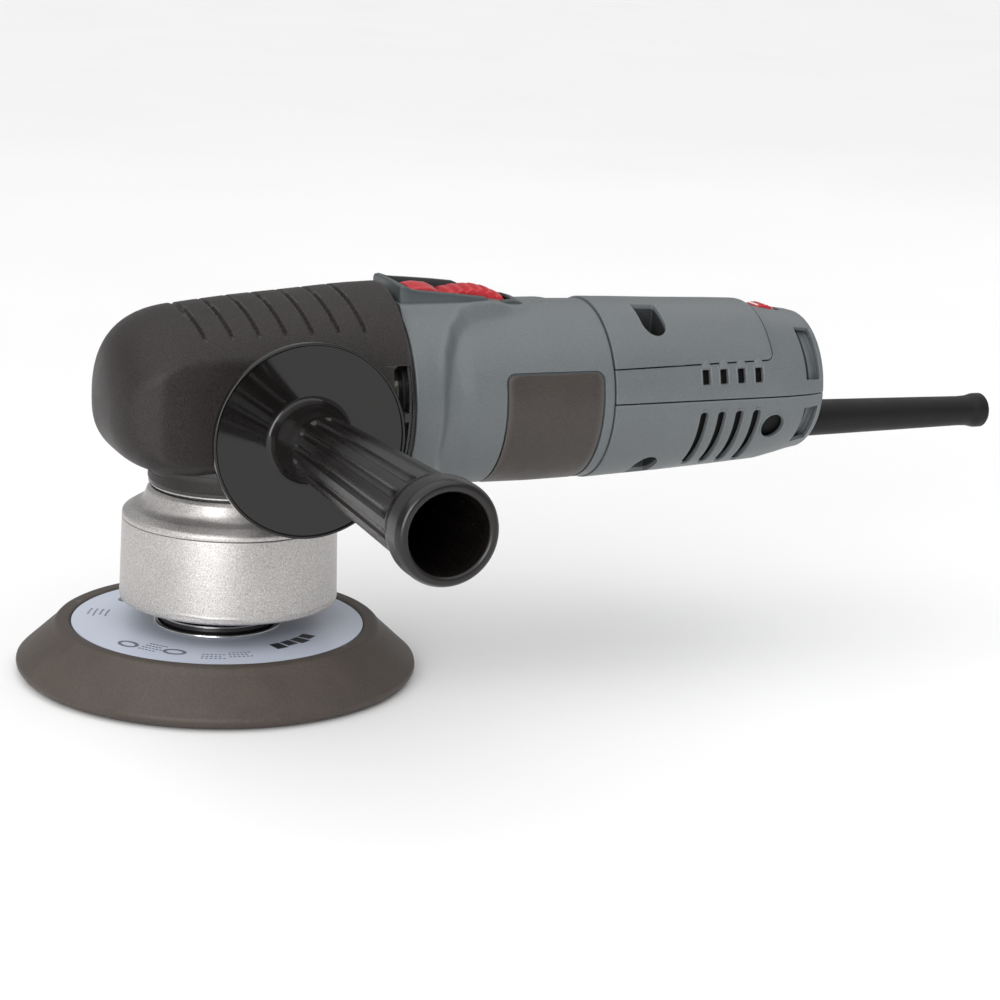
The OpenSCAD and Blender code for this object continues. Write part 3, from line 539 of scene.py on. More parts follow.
def build_label_print():
    """Generic rings, dashes and a block, with nothing to read."""
    marks = []
    for turn, radius in ((3.62, 46), (4.05, 44), (0.9, 46), (2.2, 44)):
        for k in range(3):
            ring = [(radius + (3.0 - 0.5 * k) * math.cos(t), turn + (4.4 - 0.5 * k) / radius
                     * math.sin(t)) for t in np.linspace(0, 2 * math.pi, 25)]
            path = [(PAD_X + r * math.cos(a), r * math.sin(a), LABEL_Z) for r, a in ring]
            marks.append(ridge(path, [(0, 0, 1)] * len(path), 0.22, 0.06, 0.02))
    for turn, radius, rows in ((3.86, 40, 4), (4.4, 44, 3), (4.62, 42, 3), (0.5, 44, 4),
                               (1.6, 42, 3), (2.7, 43, 4)):
        for row in range(rows):
            for k in range(6 - row % 2):
                marks.append(label_mark(radius + 2.3 * row, turn + 0.034 * (k - 3), 0.62, 0.5))
    ink = surface("label_ink", (92, 98, 112), 0.4, depth=0, wear_and_edge_highlight=0)
    put(piece_of("label_print", joined(marks), ink), "pad", "label_film")
    block = [label_mark(39.5 - 0.6 * (k % 2), turn + 0.14 * k, 3.1, 4.4 - 0.7 * (k % 2))
             for turn in (5.02, 1.84) for k in range(4)]
    dark = surface("label_block", (38, 39, 46), 0.4, depth=0, wear_and_edge_highlight=0)
    put(piece_of("label_block", joined(block), dark), "pad", "label_film")


# ---- shroud and neck ----

def build_shroud():
    base_in = SKIRT_R - 2.6

    def cast(r, along, turns):
        """A faint wavy casting line just above the lower edge."""
        line = SKIRT_Z + 2.4 + 0.35 * np.sin(5 * turns) + 0.2 * np.sin(13 * turns)
        return r + 0.12 * np.exp(-((along - line) / 0.35) ** 2) * (r > base_in + 1)

    side = [(SKIRT_R - 0.7 * (z - SKIRT_Z) / (SEAM_Z - SKIRT_Z), z)
            for z in np.linspace(SKIRT_Z + 2.0, SKIRT_Z + 4.4, 9)]
    outline = filleted([(base_in, SEAM_Z, 0.2), (base_in, SKIRT_Z, 0.6),
                        (SKIRT_R - 0.02, SKIRT_Z, 1.5)]
                       + side + [(SKIRT_R - 0.7, SEAM_Z, 0.35)])
    add_piece("shroud_side", turned(outline, "z", (0, 0, 0), 168, cast),
              "housing", "cast_alloy", "shroud_skirt")

    spigot, spigot_in, bore = base_in - 0.2, NECK_R - 1.3, 15.5
    cap = filleted([
        (bore, SEAM_Z + 1.9), (spigot - 2, SEAM_Z + 1.9, 1.0), (spigot - 2, SEAM_Z - 3.2),
        (spigot, SEAM_Z - 3.2), (spigot, SEAM_Z + 0.2), (CAP_R, SEAM_Z + 0.15, 0.3),
        (CAP_R, SEAM_Z + 2.2, 2.8), (CAP_R - 3.6, SEAM_Z + 4.4, 4.0),
        (CAP_R - 7.6, SEAM_Z + 6.0, 6.0), (NECK_R + 0.4, CAP_TOP - 1.2, 1.6),
        (NECK_R - 0.7, CAP_TOP, 0.5), (spigot_in, CAP_TOP, 0.2), (spigot_in, SEAM_Z + 4.9),
        (bore, SEAM_Z + 4.9)])
    add_piece("shroud_shoulder", turned(cap, "z", (0, 0, 0), 168),
              "housing", "cast_alloy", "shroud_cap")


HEAD_FLOOR = NECK_Z + 13.5
NECK_LOW = CAP_TOP + 1.8


def build_neck():
    outer, mid = NECK_R + 0.25, HEAD_FLOOR - 1.3

    def slit(r, along, turns):
        """A short moulded slit round the front of the neck."""
        away = np.abs(turns - math.pi)
        cut = np.exp(-((along - mid) / 0.22) ** 4) * eased((0.36 - away) / 0.03)
        return r - 0.9 * cut * (r > NECK_R)

    side = [(outer, z) for z in mid + np.array([-0.6, -0.32, -0.2, 0, 0.2, 0.32, 0.6])]
    sleeve = filleted([(NECK_R - 1.5, NECK_LOW + 0.1), (NECK_R - 0.9, NECK_LOW, 0.3),
                       (outer, NECK_LOW + 1.7, 1.6)] + side
                      + [(outer, HEAD_FLOOR + 1.5), (NECK_R - 1.5, HEAD_FLOOR + 1.5)])
    add_piece("neck_sleeve", turned(sleeve, "z", (0, 0, 0), 240, slit),
              "housing", "black_cover")
    collar = filleted([(NECK_R - 1.7, NECK_LOW - 0.75), (NECK_R - 0.5, NECK_LOW - 0.75, 0.2),
                       (NECK_R - 0.5, NECK_LOW - 0.05, 0.2), (NECK_R - 1.7, NECK_LOW - 0.05)])
    add_piece("neck_ring", turned(collar, "z", (0, 0, 0), 144), "housing", "cast_alloy")
    ring_in, ring_out, front, back = 36.9, 38.05, 57.75, 59.1
    flange = filleted([(ring_in, front), (ring_out, front, 0.25), (ring_out, back, 0.25),
                       (ring_in, back)])
    add_piece("flange_ring", turned(flange, "x", (0, 0, MOTOR_Z), 200),
              "housing", "black_alloy")


# ---- gear head ----

WALL = 2.6
HEAD_MID = MOTOR_Z + 2.0
NOSE_X, NOSE_LENGTH = -14.0, 37.0
HEAD_REAR, HEAD_HALF, NOSE_POWER = 57.5, 38.3, 2.8
GROOVE_X = [-19.4 + 10.1 * k for k in range(7)]
RAY_X = -22.0
HEAD_TOP = ([-60, -20, 0, 20, 40, 52, 60], [140.5, 141.9, 144.2, 145.9, 147.7, 148.5, 148.5])


def smooth_max(a, b, soft):
    gap = np.clip(0.5 + 0.5 * (a - b) / soft, 0, 1)
    return b + (a - b) * gap + soft * gap * (1 - gap)


def head_level(x, y, z):
    """Below zero inside the head. Distances are roughly millimetres near the surface."""
    behind_neck = eased((x - 29) / 6)
    up = np.interp(x, *HEAD_TOP) - HEAD_MID
    down = (HEAD_MID - HEAD_FLOOR) * (1 - behind_neck) + (HEAD_MID - NECK_Z + 0.3) * behind_neck
    rise = np.where(z > HEAD_MID, (z - HEAD_MID) / up, (HEAD_MID - z) / down)
    power = np.where(z > HEAD_MID, 2.0, 3.2 - 1.2 * behind_neck)
    section = (np.abs(y / HEAD_HALF) ** power + np.abs(rise) ** power) ** (1 / power)
    ahead = np.clip((NOSE_X - x) / NOSE_LENGTH, 0, None)
    body = ((section ** NOSE_POWER + ahead ** NOSE_POWER) ** (1 / NOSE_POWER) - 1) * 36
    facet_y = np.interp(x, [-45, -36, -10, 30, 50], [31.0, 31.5, 32.4, 34.6, 38.8])
    corner = 0.489 * -x + 0.872 * np.abs(y) - 45.2
    return smooth_max(smooth_max(body, corner, 0.9), np.abs(y) - facet_y, 0.8)


def head_reach(origin, direction):
    """How far the head's surface is from each origin along its direction."""
    near, far = np.zeros(direction.shape[:-1]), np.full(direction.shape[:-1], 90.0)
    for _ in range(44):
        half = (near + far) / 2
        point = origin + direction * half[..., None]
        inside = head_level(point[..., 0], point[..., 1], point[..., 2]) < 0
        near, far = np.where(inside, half, near), np.where(inside, far, half)
    return near


def head_grid():
    """Origins and directions of the rays that draw the head, nose first."""
    angles = full_turn(216)
    tilts = np.radians(np.concatenate([[90, 88], np.arange(84, 0, -3)]))
    stops = {RAY_X, HEAD_REAR, HEAD_REAR - 0.2, HEAD_REAR - 0.8, HEAD_REAR - 2}
    for x in GROOVE_X:
        stops |= {x + d for d in np.arange(-4.3, 2.2, 0.34)}
        stops |= {x + d for d in (3.1, 4.2, 5.2)}
    stops = np.array(sorted(s for s in stops if RAY_X <= s <= HEAD_REAR))
    x = np.concatenate([np.full(len(tilts), RAY_X), stops])
    tilt = np.concatenate([tilts, np.zeros(len(stops))])
    tilt, angle = np.meshgrid(tilt, angles, indexing="ij")
    origin = np.zeros(tilt.shape + (3,))
    origin[..., 0], origin[..., 2] = x[:, None], HEAD_MID
    direction = np.stack([-np.sin(tilt), -np.cos(tilt) * np.sin(angle),
                          np.cos(tilt) * np.cos(angle)], -1)
    return origin, direction


def groove_depth(point):
    """The grip grooves over the top, which end on a ramp above the side facets."""
    x, y = point[..., 0], np.abs(point[..., 1])
    depth = np.zeros(x.shape)
    for k, centre in enumerate(GROOVE_X):
        end = 26.2 + 0.45 * k
        centre = centre + 0.8 - (3.3 + 0.14 * k) * (1 - np.clip(y / end, 0, 1) ** 2)
        across = eased(1 - (np.abs(x - centre) - 0.35) / 0.6)
        depth = np.maximum(depth, 1.5 * across * eased((end - y) / 1.8))
    return np.where(point[..., 2] > HEAD_MID, depth, 0)


def build_head():
    origin, direction = head_grid()
    reach = head_reach(origin, direction)
    flat = origin + direction * reach[..., None]
    reach = reach - groove_depth(flat) - edge_drop(HEAD_REAR - flat[..., 0], 0.8)
    outer = origin + direction * reach[..., None]
    inner = origin + direction * (reach - WALL)[..., None]
    head = piece_of("gear_head", between(outer, inner, True), MATERIALS["black_cover"])

    notch = rounded_box(50.6, HEAD_REAR + 4, 89, 122.7, 2.4)
    boolean(head, [sideways(notch, side, 30, 45) for side in (-1, 1)])
    boolean(head, [prism(circle(0, 0, NECK_R + 6.2, 64), "z", 40, NECK_LOW)])
    boolean(head, [prism(circle(0, 0, NECK_R - 0.5, 64), "z", 40, HEAD_FLOOR + 10)])
    soften(head, 0.35, 50)
    tab = rounded_box(54.9, 58.0, 101.7, 105.0, 0.6, 3)
    add_solids(head, [sideways(tab, side, 34.5, 37.6) for side in (-1, 1)])
    put(head, "housing", "black_cover", "head_cover")


# ---- side handle ----

FLUTES = 14
GRIP_START, GRIP_END = 72.0, HANDLE_END - 17.0


def fluted(r, along, turns):
    """Channels along the grip, rounded at both ends."""
    if not GRIP_START <= along <= GRIP_END:
        return r
    runout = min(along - GRIP_START, GRIP_END - along)
    full = eased(np.array(runout / 2.6))
    phase = (turns * FLUTES / (2 * math.pi)) % 1 - 0.5
    half_width = 0.255 + 0.02 * full
    channel = np.sqrt(np.clip(1 - (phase / half_width) ** 2, 0, 1))
    return r - 1.25 * full * channel


def build_handle():
    end, bore = HANDLE_END, 4.3
    close = np.array([0, 0.4, 0.9, 1.5, 2.6])
    stops = np.concatenate([GRIP_START + close, np.arange(GRIP_START + 6, GRIP_END - 4, 6),
                            GRIP_END - close[::-1]])
    grip = [(12.4 + 3.0 * (h - 69) / 103, h) for h in stops]
    outline = filleted([
        (bore, 38.6), (12.2, 38.6, 0.6), (12.4, 49.4, 2.5), (19, 52.2, 3), (34.4, 52.6, 0.3),
        (GUARD_R, 53.2, 0.8), (GUARD_R, 56.2, 0.5), (GUARD_R - 0.9, 56.2, 0.4),
        (GUARD_R - 1.2, 55.6, 0.2), (15.6, 55.6, 2.0), (14.0, 58.6, 3.0),
        (13.3, 66.0, 4.0), (12.5, 69.6, 0.5)]
        + grip + [(15.5, GRIP_END + 1.4, 0.8), (16.6, GRIP_END + 3.4, 2),
                  (17.5, GRIP_END + 7.5, 4), (17.5, end - 2.6, 2.6), (16.4, end, 1.8),
                  (13.6, end, 1.6), (13.0, end - 4, 2), (12.2, end - 40), (9.4, end - 88, 3),
                  (bore, end - 90)])
    handle = piece_of("side_grip",
                      turned(outline, "-y", (HANDLE_X, 0, HANDLE_Z), FLUTES * 14, fluted),
                      MATERIALS["gloss_black"])
    handle.data.materials.append(MATERIALS["grip_black"])
    for face in handle.data.polygons:
        face.material_index = int(-face.center.y > 57 * MM)
    put(handle, "housing", "gloss_black", "side_handle")


# ---- motor housing ----

BODY_STOPS = ([59, 70, 76, 79, 82, 84.5, 88, 98, 118, 138, 143],
              [36.0, 34.6, 33.9, 34.1, 34.9, 35.5, 35.6, 35.7, 35.9, 35.5, 35.4])
BODY_R = 35.7
SWITCH_SLOT = rounded_box(62.0, 109.0, -7.9, 7.9, 1.0)
CREASE = [(74.0, 113.0), (70.0, 70.0), (70.6, 48.0), (73.3, 34.6), (78.0, 25.0), (84.7, 17.8),
          (92.0, 15.4), (99.0, 14.3), (112.0, 13.0), (124.0, 9.0), (128.0, 0.0)]


def crease_distance(x, arc):
    """Signed distance from the crease round the grip relief, above zero inside it."""
    best, sign = np.full(x.shape, 1e9), np.ones(x.shape)
    for (x0, a0), (x1, a1) in zip(CREASE[:-1], CREASE[1:]):
        dx, da = x1 - x0, a1 - a0
        t = np.clip(((x - x0) * dx + (arc - a0) * da) / (dx * dx + da * da), 0, 1)
        gap = np.hypot(x - x0 - t * dx, arc - a0 - t * da)
        side = np.sign(dx * (arc - a0) - da * (x - x0))
        closer = gap < best - 1e-9
        best, sign = np.where(closer, gap, best), np.where(closer, side, sign)
    return best * sign


def motor_radius(x, angle):
    """The outside of the motor housing."""
    turn = np.abs((angle + math.pi) % (2 * math.pi) - math.pi)
    inside = crease_distance(x, turn * 36)
    relief = eased((inside + 1.6) / 6.2)
    crest = 0.35 * np.exp(-((inside + 1.4) / 1.3) ** 2) * eased((1.5 - turn) / 0.5)
    collar = np.interp(x, [59, 64, 76, 97, 118, 143], [38.3, 38.8, 38.9, 38.6, 36.2, 35.5])
    flat_top = 38.0 / np.cos(np.clip(turn, 0, 0.42))
    deck = eased((0.56 - turn) / 0.2) * eased((108 - x) / 12)
    collar = collar * (1 - deck) + np.maximum(flat_top, collar) * deck
    body = np.maximum(np.interp(x, *BODY_STOPS), 34.0 + 1.5 * eased((turn - 1.7) / 0.8))
    edges = np.minimum(x - MOTOR_FRONT, SEAM_X - x)
    return collar * (1 - relief) + body * relief + crest - edge_drop(edges, 0.35)


def body_patch(x0, x1, turn, corner, depth_in, depth_out):
    """A patch of the motor housing's surface that wraps under its belly."""
    angles = np.linspace(turn, 2 * math.pi - turn, 180)
    ends = corner / BODY_R * (1 - np.cos(np.linspace(0, math.pi / 2, 8)))
    angles = np.unique(np.concatenate([angles, turn + ends, 2 * math.pi - turn - ends]))
    from_end = np.minimum(angles - turn, 2 * math.pi - turn - angles) * BODY_R
    inset = edge_drop(from_end, corner)
    share = np.linspace(0, 1, 24)[:, None]
    x = x0 + inset + share * (x1 - x0 - 2 * inset)
    angle = np.broadcast_to(angles, x.shape)
    r = motor_radius(x, angle)
    edge = np.minimum(np.minimum(x - x0 - inset, x1 - inset - x), from_end)
    return between(round_motor(x, angle, r + depth_out - edge_drop(edge, 0.3)),
                   round_motor(x, angle, r - depth_in), False)


def build_motor():
    stops = stops_between(MOTOR_FRONT, SEAM_X - 0.1, 0.8, 0.35)
    shell = piece_of("motor_shell", wall(motor_radius, stops, full_turn(320), WALL),
                     MATERIALS["gray_plastic"])
    turn = math.acos((BADGE_TOP - MOTOR_Z) / BODY_R)
    boolean(shell, [body_patch(BADGE_X0 - 0.9, BADGE_X1 + 0.5, turn - 0.026, 3.9, 1.3, 4)])
    boolean(shell, [prism(SWITCH_SLOT, "z", 130, 152)])
    put(shell, "housing", "gray_plastic", "motor_housing")
    add_piece("belly_panel", body_patch(BADGE_X0, BADGE_X1 - 0.4, turn, 3.0, 0.85, 0.12),
              "housing", "brown_panel", "badge_panel")


# ---- switch ----

HUMP_LINE = ([82, 87, 94.7, 100.4, 106, 108.4], [145.4, 146.5, 147.0, 145.9, 143.4, 141.2])


def crowned(half, bottom, top, crown, rounding):
    """A cross-section with upright sides, rounded shoulders and a crowned top."""
    arc = [(half - rounding * (1 - math.cos(t)), rounding * (math.sin(t) - 1))
           for t in np.linspace(0, math.pi / 2, 5)]
    top_points = [(half - rounding) * share for share in np.linspace(0.9, -0.9, 13)]
    shoulder = top - crown
    return ([(-half, bottom), (half, bottom)] + [(y, shoulder + z) for y, z in arc]
            + [(y, shoulder + crown * (1 - (y / (half - rounding)) ** 2)) for y in top_points]
            + [(-y, shoulder + z) for y, z in reversed(arc)])


def section_loft(sections, bottom):
    """A solid through (x, half width, top, crown, rounding) sections over one bottom."""
    return lofted([[(x, y, z) for y, z in crowned(half, bottom, *size)]
                   for x, half, *size in sections])


def build_switch():
    base = MOTOR_Z + 34.9
    sections = [(60.2, 14.6, 148.9, 0.3, 1.0), (60.6, 15.0, 149.5, 0.3, 1.2),
                (62.2, 15.0, 149.6, 0.3, 1.2), (63.6, 15.0, 149.0, 0.3, 1.0),
                (65.2, 15.0, 148.2, 0.2, 0.9), (68.0, 15.0, 147.8, 0.2, 0.9),
                (73.0, 15.0, 147.4, 0.2, 0.9), (83.5, 15.0, 146.4, 0.2, 0.9),
                (92.5, 15.0, 145.4, 0.2, 0.9), (95.4, 15.0, 144.6, 0.2, 0.9),
                (97.2, 15.0, 142.8, 0.3, 0.9), (98.6, 14.4, 142.1, 0.4, 0.8),
                (103.0, 11.4, 142.0, 0.6, 0.9), (106.5, 10.4, 142.5, 0.8, 1.1),
                (109.4, 9.9, 142.8, 0.9, 1.2), (111.6, 9.5, 142.2, 0.8, 1.1),
                (113.4, 8.9, 141.0, 0.5, 0.7), (114.6, 8.0, 140.0, 0.2, 0.3)]
    points, faces = section_loft(sections, base)
    x, y, z = np.array(points).T
    # the top of the frame rises a little towards +Y
    z = z + 0.045 * y * np.interp(x, [60, 66, 92, 98], [0.1, 1, 1.6, 0]) * (z > base + 1)
    bezel = piece_of("switch_frame", (np.stack([x, y, z], -1), faces),
                     MATERIALS["bezel_plastic"])
    boolean(bezel, [prism(rounded_box(61.9, 97.6, -12.4, 12.4, 2.0), "z", 141.4, 160)])
    boolean(bezel, [prism(SWITCH_SLOT, "z", 130, 152)])
    put(bezel, "housing", "bezel_plastic", "switch_bezel")

    nub = [(66.9, 6.6, 146.4, 1.0, 1.0), (67.3, 7.2, 147.4, 1.0, 1.2),
           (68.6, 7.5, 148.1, 1.0, 1.4), (71.0, 7.5, 148.4, 1.0, 1.4),
           (75.8, 7.5, 147.9, 1.0, 1.4), (78.6, 7.3, 146.6, 1.0, 1.2),
           (79.9, 6.8, 145.2, 1.0, 1.0)]
    hump = [(80.4, 6.9, 144.2, 0.8, 0.8), (81.0, 7.4, 145.0, 0.8, 1.0)]
    for k in range(6):
        for step, half, rise, rounding in ((0, 7.4, -0.9, 1.0), (1.0, 7.5, 0.2, 1.2),
                                           (2.6, 7.5, 0.2, 1.2), (3.5, 7.4, -0.9, 1.0)):
            x = 82.4 + 4.1 * k + step
            hump.append((x, half, float(np.interp(x, *HUMP_LINE)) + rise, 0.8, rounding))
    hump += [(107.4, 7.3, 141.8, 0.8, 1.0), (107.95, 6.8, 140.4, 0.6, 0.8)]
    bridge = [(79.6, 6.0, 142.6, 0.4, 0.6), (80.8, 6.0, 142.6, 0.4, 0.6)]
    add_piece("switch_slide", joined([section_loft(nub, 137), section_loft(hump, 137),
                                      section_loft(bridge, 136.6)]),
              "switch", "red_plastic", "switch_slider")


# ---- rear housing ----

REAR_SIDE = ([143, 157, 177, 199, 214, 222, 230, 235, 240],
             [36.0, 35.6, 34.9, 34.2, 33.7, 33.2, 32.0, 30.6, 28.4])
REAR_TOP = ([143, 157, 177, 199, 213, 215, 217, 219, 223, 230, 236, 240],
            [36.0, 35.6, 34.9, 34.3, 33.8, 33.3, 32.5, 32.0, 31.3, 30.2, 29.4, 28.4])
REAR_LOW = ([143, 157, 177, 200, 220, 228, 235, 240],
            [36.0, 35.4, 34.6, 33.3, 32.0, 30.4, 28.8, 28.0])
SIDE_HOLE = (216, 92.1)
WINDOW_X = (230.0, 237.4)
SLOT_X = [183.0 + 8 * k for k in range(4)]


def rear_radius(x, angle):
    """The outside of the rear housing: its own profile along the top, sides and bottom."""
    upright = np.cos(angle)
    top, low, side = (np.interp(x, *stops) for stops in (REAR_TOP, REAR_LOW, REAR_SIDE))
    r = side + np.where(upright > 0, (top - side) * eased(upright * 1.1),
                        (low - side) * eased(-upright * 1.1))
    return r - edge_drop(np.minimum((x - REAR_FRONT) * 2, REAR_X - x), 0.7)


def rear_wall(angle0, angle1, end=REAR_X, drop=0.0):
    stops = stops_between(REAR_FRONT + 0.1, end, 1.6, 0.7)
    angles = np.linspace(angle0, angle1, 150)
    return wall(lambda x, a: rear_radius(x, a) - drop, stops, angles, 1.7, closed=False)


def on_rear(x, z, side):
    """The point of the rear surface at that x and height, and its outward normal."""
    r = 34.5
    for _ in range(4):
        angle = math.acos(max(-1, min(1, (z - MOTOR_Z) / r)))
        r = float(rear_radius(np.array(x), np.array(angle)))
    normal = np.array([0.05, side * math.sin(angle), math.cos(angle)])
    normal /= np.linalg.norm(normal)
    return np.array([x, side * r * math.sin(angle), MOTOR_Z + r * math.cos(angle)]), normal


def surface_bead(outline, side, half_width=0.45, height=0.55):
    points, normals = zip(*(on_rear(x, z, side) for x, z in outline))
    return ridge(points, normals, half_width, height)


def slot_cuts():
    cuts = []
    for side in (-1, 1):
        for x in SLOT_X:
            slot = rounded_box(x - 1.8, x + 1.7, 76.5, 99.6, 1.45)
            cuts.append(sideways(slot, side, 12, 45))
        cuts.append(sideways(circle(*SIDE_HOLE, 5.0), side, 12, 45))
    return cuts


def slot_rims():
    """A raised lip down the rear side of each slot and round the hole."""
    rims = []
    for side in (-1, 1):
        for x in SLOT_X:
            path = [(x - 0.6, 100.3), (x + 0.9, 100.2), (x + 1.9, 99.2), (x + 2.1, 97.5)]
            path += [(x + 2.1, z) for z in np.linspace(95, 79, 9)]
            path += [(x + 1.9, 77.2), (x + 0.9, 75.9), (x - 0.6, 75.8)]
            rims.append(surface_bead(path, side))
        ring = circle(*SIDE_HOLE, 5.5, 32)
        rims.append(surface_bead(ring + ring[:1], side, 0.4, 0.35))
    return rims


def tab_vents():
    """Small vents under the cover line, with a rim and a tab over each."""
    cuts, rims = [], []
    for side in (-1, 1):
        for x in SLOT_X:
            x += 0.2
            vent = rounded_box(x - 1.75, x + 1.75, 110.6, 116.4, 0.5, 3)
            cuts.append(sideways(vent, side, 20, 45))
            path = [(x - 2.3, 117.6), (x - 2.3, 113.0), (x - 2.3, 110.6), (x - 1.8, 109.8),
                    (x, 109.6), (x + 1.8, 109.8), (x + 2.3, 110.6), (x + 2.3, 113.0),
                    (x + 2.3, 117.6)]
            rims.append(surface_bead(path, side, 0.32, 0.32))
            rims.append(surface_tab(x - 1.8, x + 1.8, 117.0, 120.2, side))
    return cuts, rims


def surface_tab(x0, x1, z0, z1, side):
    """A small plate that lies on the rear surface and laps over the cover line."""
    near_radius, height = 34.7, 0.38
    turns = [side * math.acos((z - MOTOR_Z) / near_radius) for z in np.linspace(z0, z1, 6)]
    x, angle = np.meshgrid(np.linspace(x0, x1, 4), turns, indexing="ij")
    r = rear_radius(x, angle)
    edge = np.ones(x.shape) * 0.25
    edge[1:-1, 1:-1] = 0
    return between(round_motor(x, angle, r + height - edge), round_motor(x, angle, r - 0.5), False)


def rear_windows():
    """Intake windows round the rear shoulder, upper and lower on both sides."""
    cuts = []
    for start, end in ((34, 79), (100, 136)):
        for side in (1, -1):
            angles = np.radians(np.linspace(start, end, 30)) * side
            x, angle = np.meshgrid(np.linspace(*WINDOW_X, 6), angles, indexing="ij")
            r = rear_radius(x, angle)
            cuts.append(between(round_motor(x, angle, r + 4), round_motor(x, angle, r - 8), False))
    return cuts


def well_outline(side, grow):
    """A screw pocket from above: straight inside, round at its outer end."""
    inner, outer = side * (9.4 - grow), side * (25.7 + grow)
    x0, x1 = SCREW_X - 2.6 - grow, SCREW_X + 7.7 + grow
    return filleted([(x0, inner, 0.6), (x1, inner, 0.6), (x1, outer, 5.1 + grow),
                     (x0, outer, 5.1 + grow)], 10)


def in_wells(upper, lower, grow=0.0):
    """The pockets' outline on both sides, pushed through a span of heights in each half."""
    return [prism(well_outline(side, grow), "z", *span)
            for side in (-1, 1) for span in (upper, lower)]


def well_cuts():
    return in_wells((124, 150), (60, 85.5))


def build_wells():
    """The walls and floors of the four screw pockets, coloured darker than the housing as painted
    shade inside the deep pockets.
    """
    # painted shade: the pocket walls are the housing's gray plastic, coloured dark for the shadow
    # in the pockets
    shade = surface("pocket_painted_shade", (40, 43, 44), 0.5, depth=0.05, wear_and_edge_highlight=0.05)
    piece = piece_of("screw_wells", joined(in_wells((121.8, 145), (64, 87.7), 1.1)), shade)
    boolean(piece, in_wells((123.4, 150), (60, 86.1), 0.02))
    within = wall(lambda x, a: rear_radius(x, a) - 1.0, np.linspace(150, 180, 16),
                  full_turn(120), 31)
    boolean(piece, [within], "INTERSECT")
    put(piece, "housing", "gray_plastic")
    # painted shade: a black sheet over each pocket floor for the shadow at its bottom
    add_piece("pocket_floor_painted_shade", joined(in_wells((123.3, 123.8), (85.8, 86.2), -0.05)),
              "housing", "black_nylon")


def cord_hole(x, radius):
    """A cutter for the cord's hole in a wall at x."""
    return turned([(0.01, -9), (radius, -9), (radius, 9), (0.01, 9)], "x", (x, 0, BOOT_Z), 48)


def build_rear_end():
    """The end wall, with a recess in front of the windows and a hole for the cord, and black
    sheets inside as painted shade behind the windows, slots and seams.
    """
    rim = wall(lambda x, a: rear_radius(x, a) - 3.2, np.linspace(233.4, REAR_X - 1.2, 8),
               full_turn(180), 2.0)
    edge = 26.2
    plate = filleted([(0.01, -3.6), (edge, -3.6), (edge, -0.6, 0.5), (edge - 3, -0.6, 0.8),
                      (edge - 4.2, -1.6, 0.6), (0.01, -1.6)])
    end = piece_of("rear_end", turned(plate, "x", (REAR_X, 0, MOTOR_Z), 144),
                   MATERIALS["gray_plastic"])
    boolean(end, [cord_hole(REAR_X, 8.2)])
    joint = [(-30, MOTOR_Z - 0.25), (30, MOTOR_Z - 0.25), (30, MOTOR_Z + 0.25),
             (-30, MOTOR_Z + 0.25)]
    boolean(end, [prism(joint, "x", REAR_X - 2.4, REAR_X + 2)])
    add_solids(end, [rim])
    put(end, "housing", "gray_plastic")
    # painted shade: a black disc behind the windows and the cord hole, where the inside lies in
    # shadow
    shade_disc_x = 232.2
    inside = piece_of("painted_shade_bulkhead", turned([(0.01, 0), (27.4, 0), (27.4, 0.8), (0.01, 0.8)], "x",
                                        (shade_disc_x, 0, MOTOR_Z), 96), MATERIALS["black_nylon"])
    boolean(inside, [cord_hole(shade_disc_x, 11.2)])
    put(inside, "housing", "black_nylon")
    # painted shade: a black lining inside the rear housing so the slots, vents and seams look dark
    angles = np.radians(np.linspace(46, 314, 120))
    shade_liner = wall(lambda x, a: rear_radius(x, a) - 2.3, np.linspace(176, 229, 24), angles, 0.8,
                 closed=False)
    add_piece("painted_shade_liner", shade_liner, "housing", "black_nylon")


def build_rear():
    quarter, split = math.pi / 2, 0.009
    gray = MATERIALS["gray_plastic"]
    lower = piece_of("rear_lower", rear_wall(quarter + split, 3 * quarter - split), gray)
    upper = piece_of("rear_upper", rear_wall(-quarter + split, quarter - split), gray)
    cover = piece_of("rear_cover", rear_wall(-1.35, 1.35, COVER_END + 6, -0.3), gray)

    end = COVER_END + 1.4
    line = filleted([(130, COVER_Z - 0.7), (end, COVER_Z + 0.7, 3.2), (end, 170), (130, 170)])
    inside = filleted([(130, COVER_Z - 0.05), (end - 0.8, COVER_Z + 1.35, 2.7),
                       (end - 0.8, 170), (130, 170)])
    vents, vent_rims = tab_vents()
    dial_slot = prism(rounded_box(216.2, 230.6, -DIAL_HALF - 0.7, DIAL_HALF + 0.7, 1.0),
                      "z", 124, 150)
    boolean(upper, [prism(line, "y", -60, 60)])
    boolean(upper, vents + [dial_slot])
    boolean(upper, rear_windows())
    boolean(lower, slot_cuts() + well_cuts())
    boolean(lower, rear_windows())
    boolean(cover, [prism(inside, "y", -60, 60)], "INTERSECT")
    boolean(cover, well_cuts())
    for piece in (lower, upper, cover):
        soften(piece, 0.16, 45)
    add_solids(lower, slot_rims())
    add_solids(upper, vent_rims)
    put(lower, "housing", "gray_plastic", "rear_housing_lower")
    put(upper, "housing", "gray_plastic", "rear_housing_upper")
    put(cover, "housing", "gray_plastic", "top_cover")


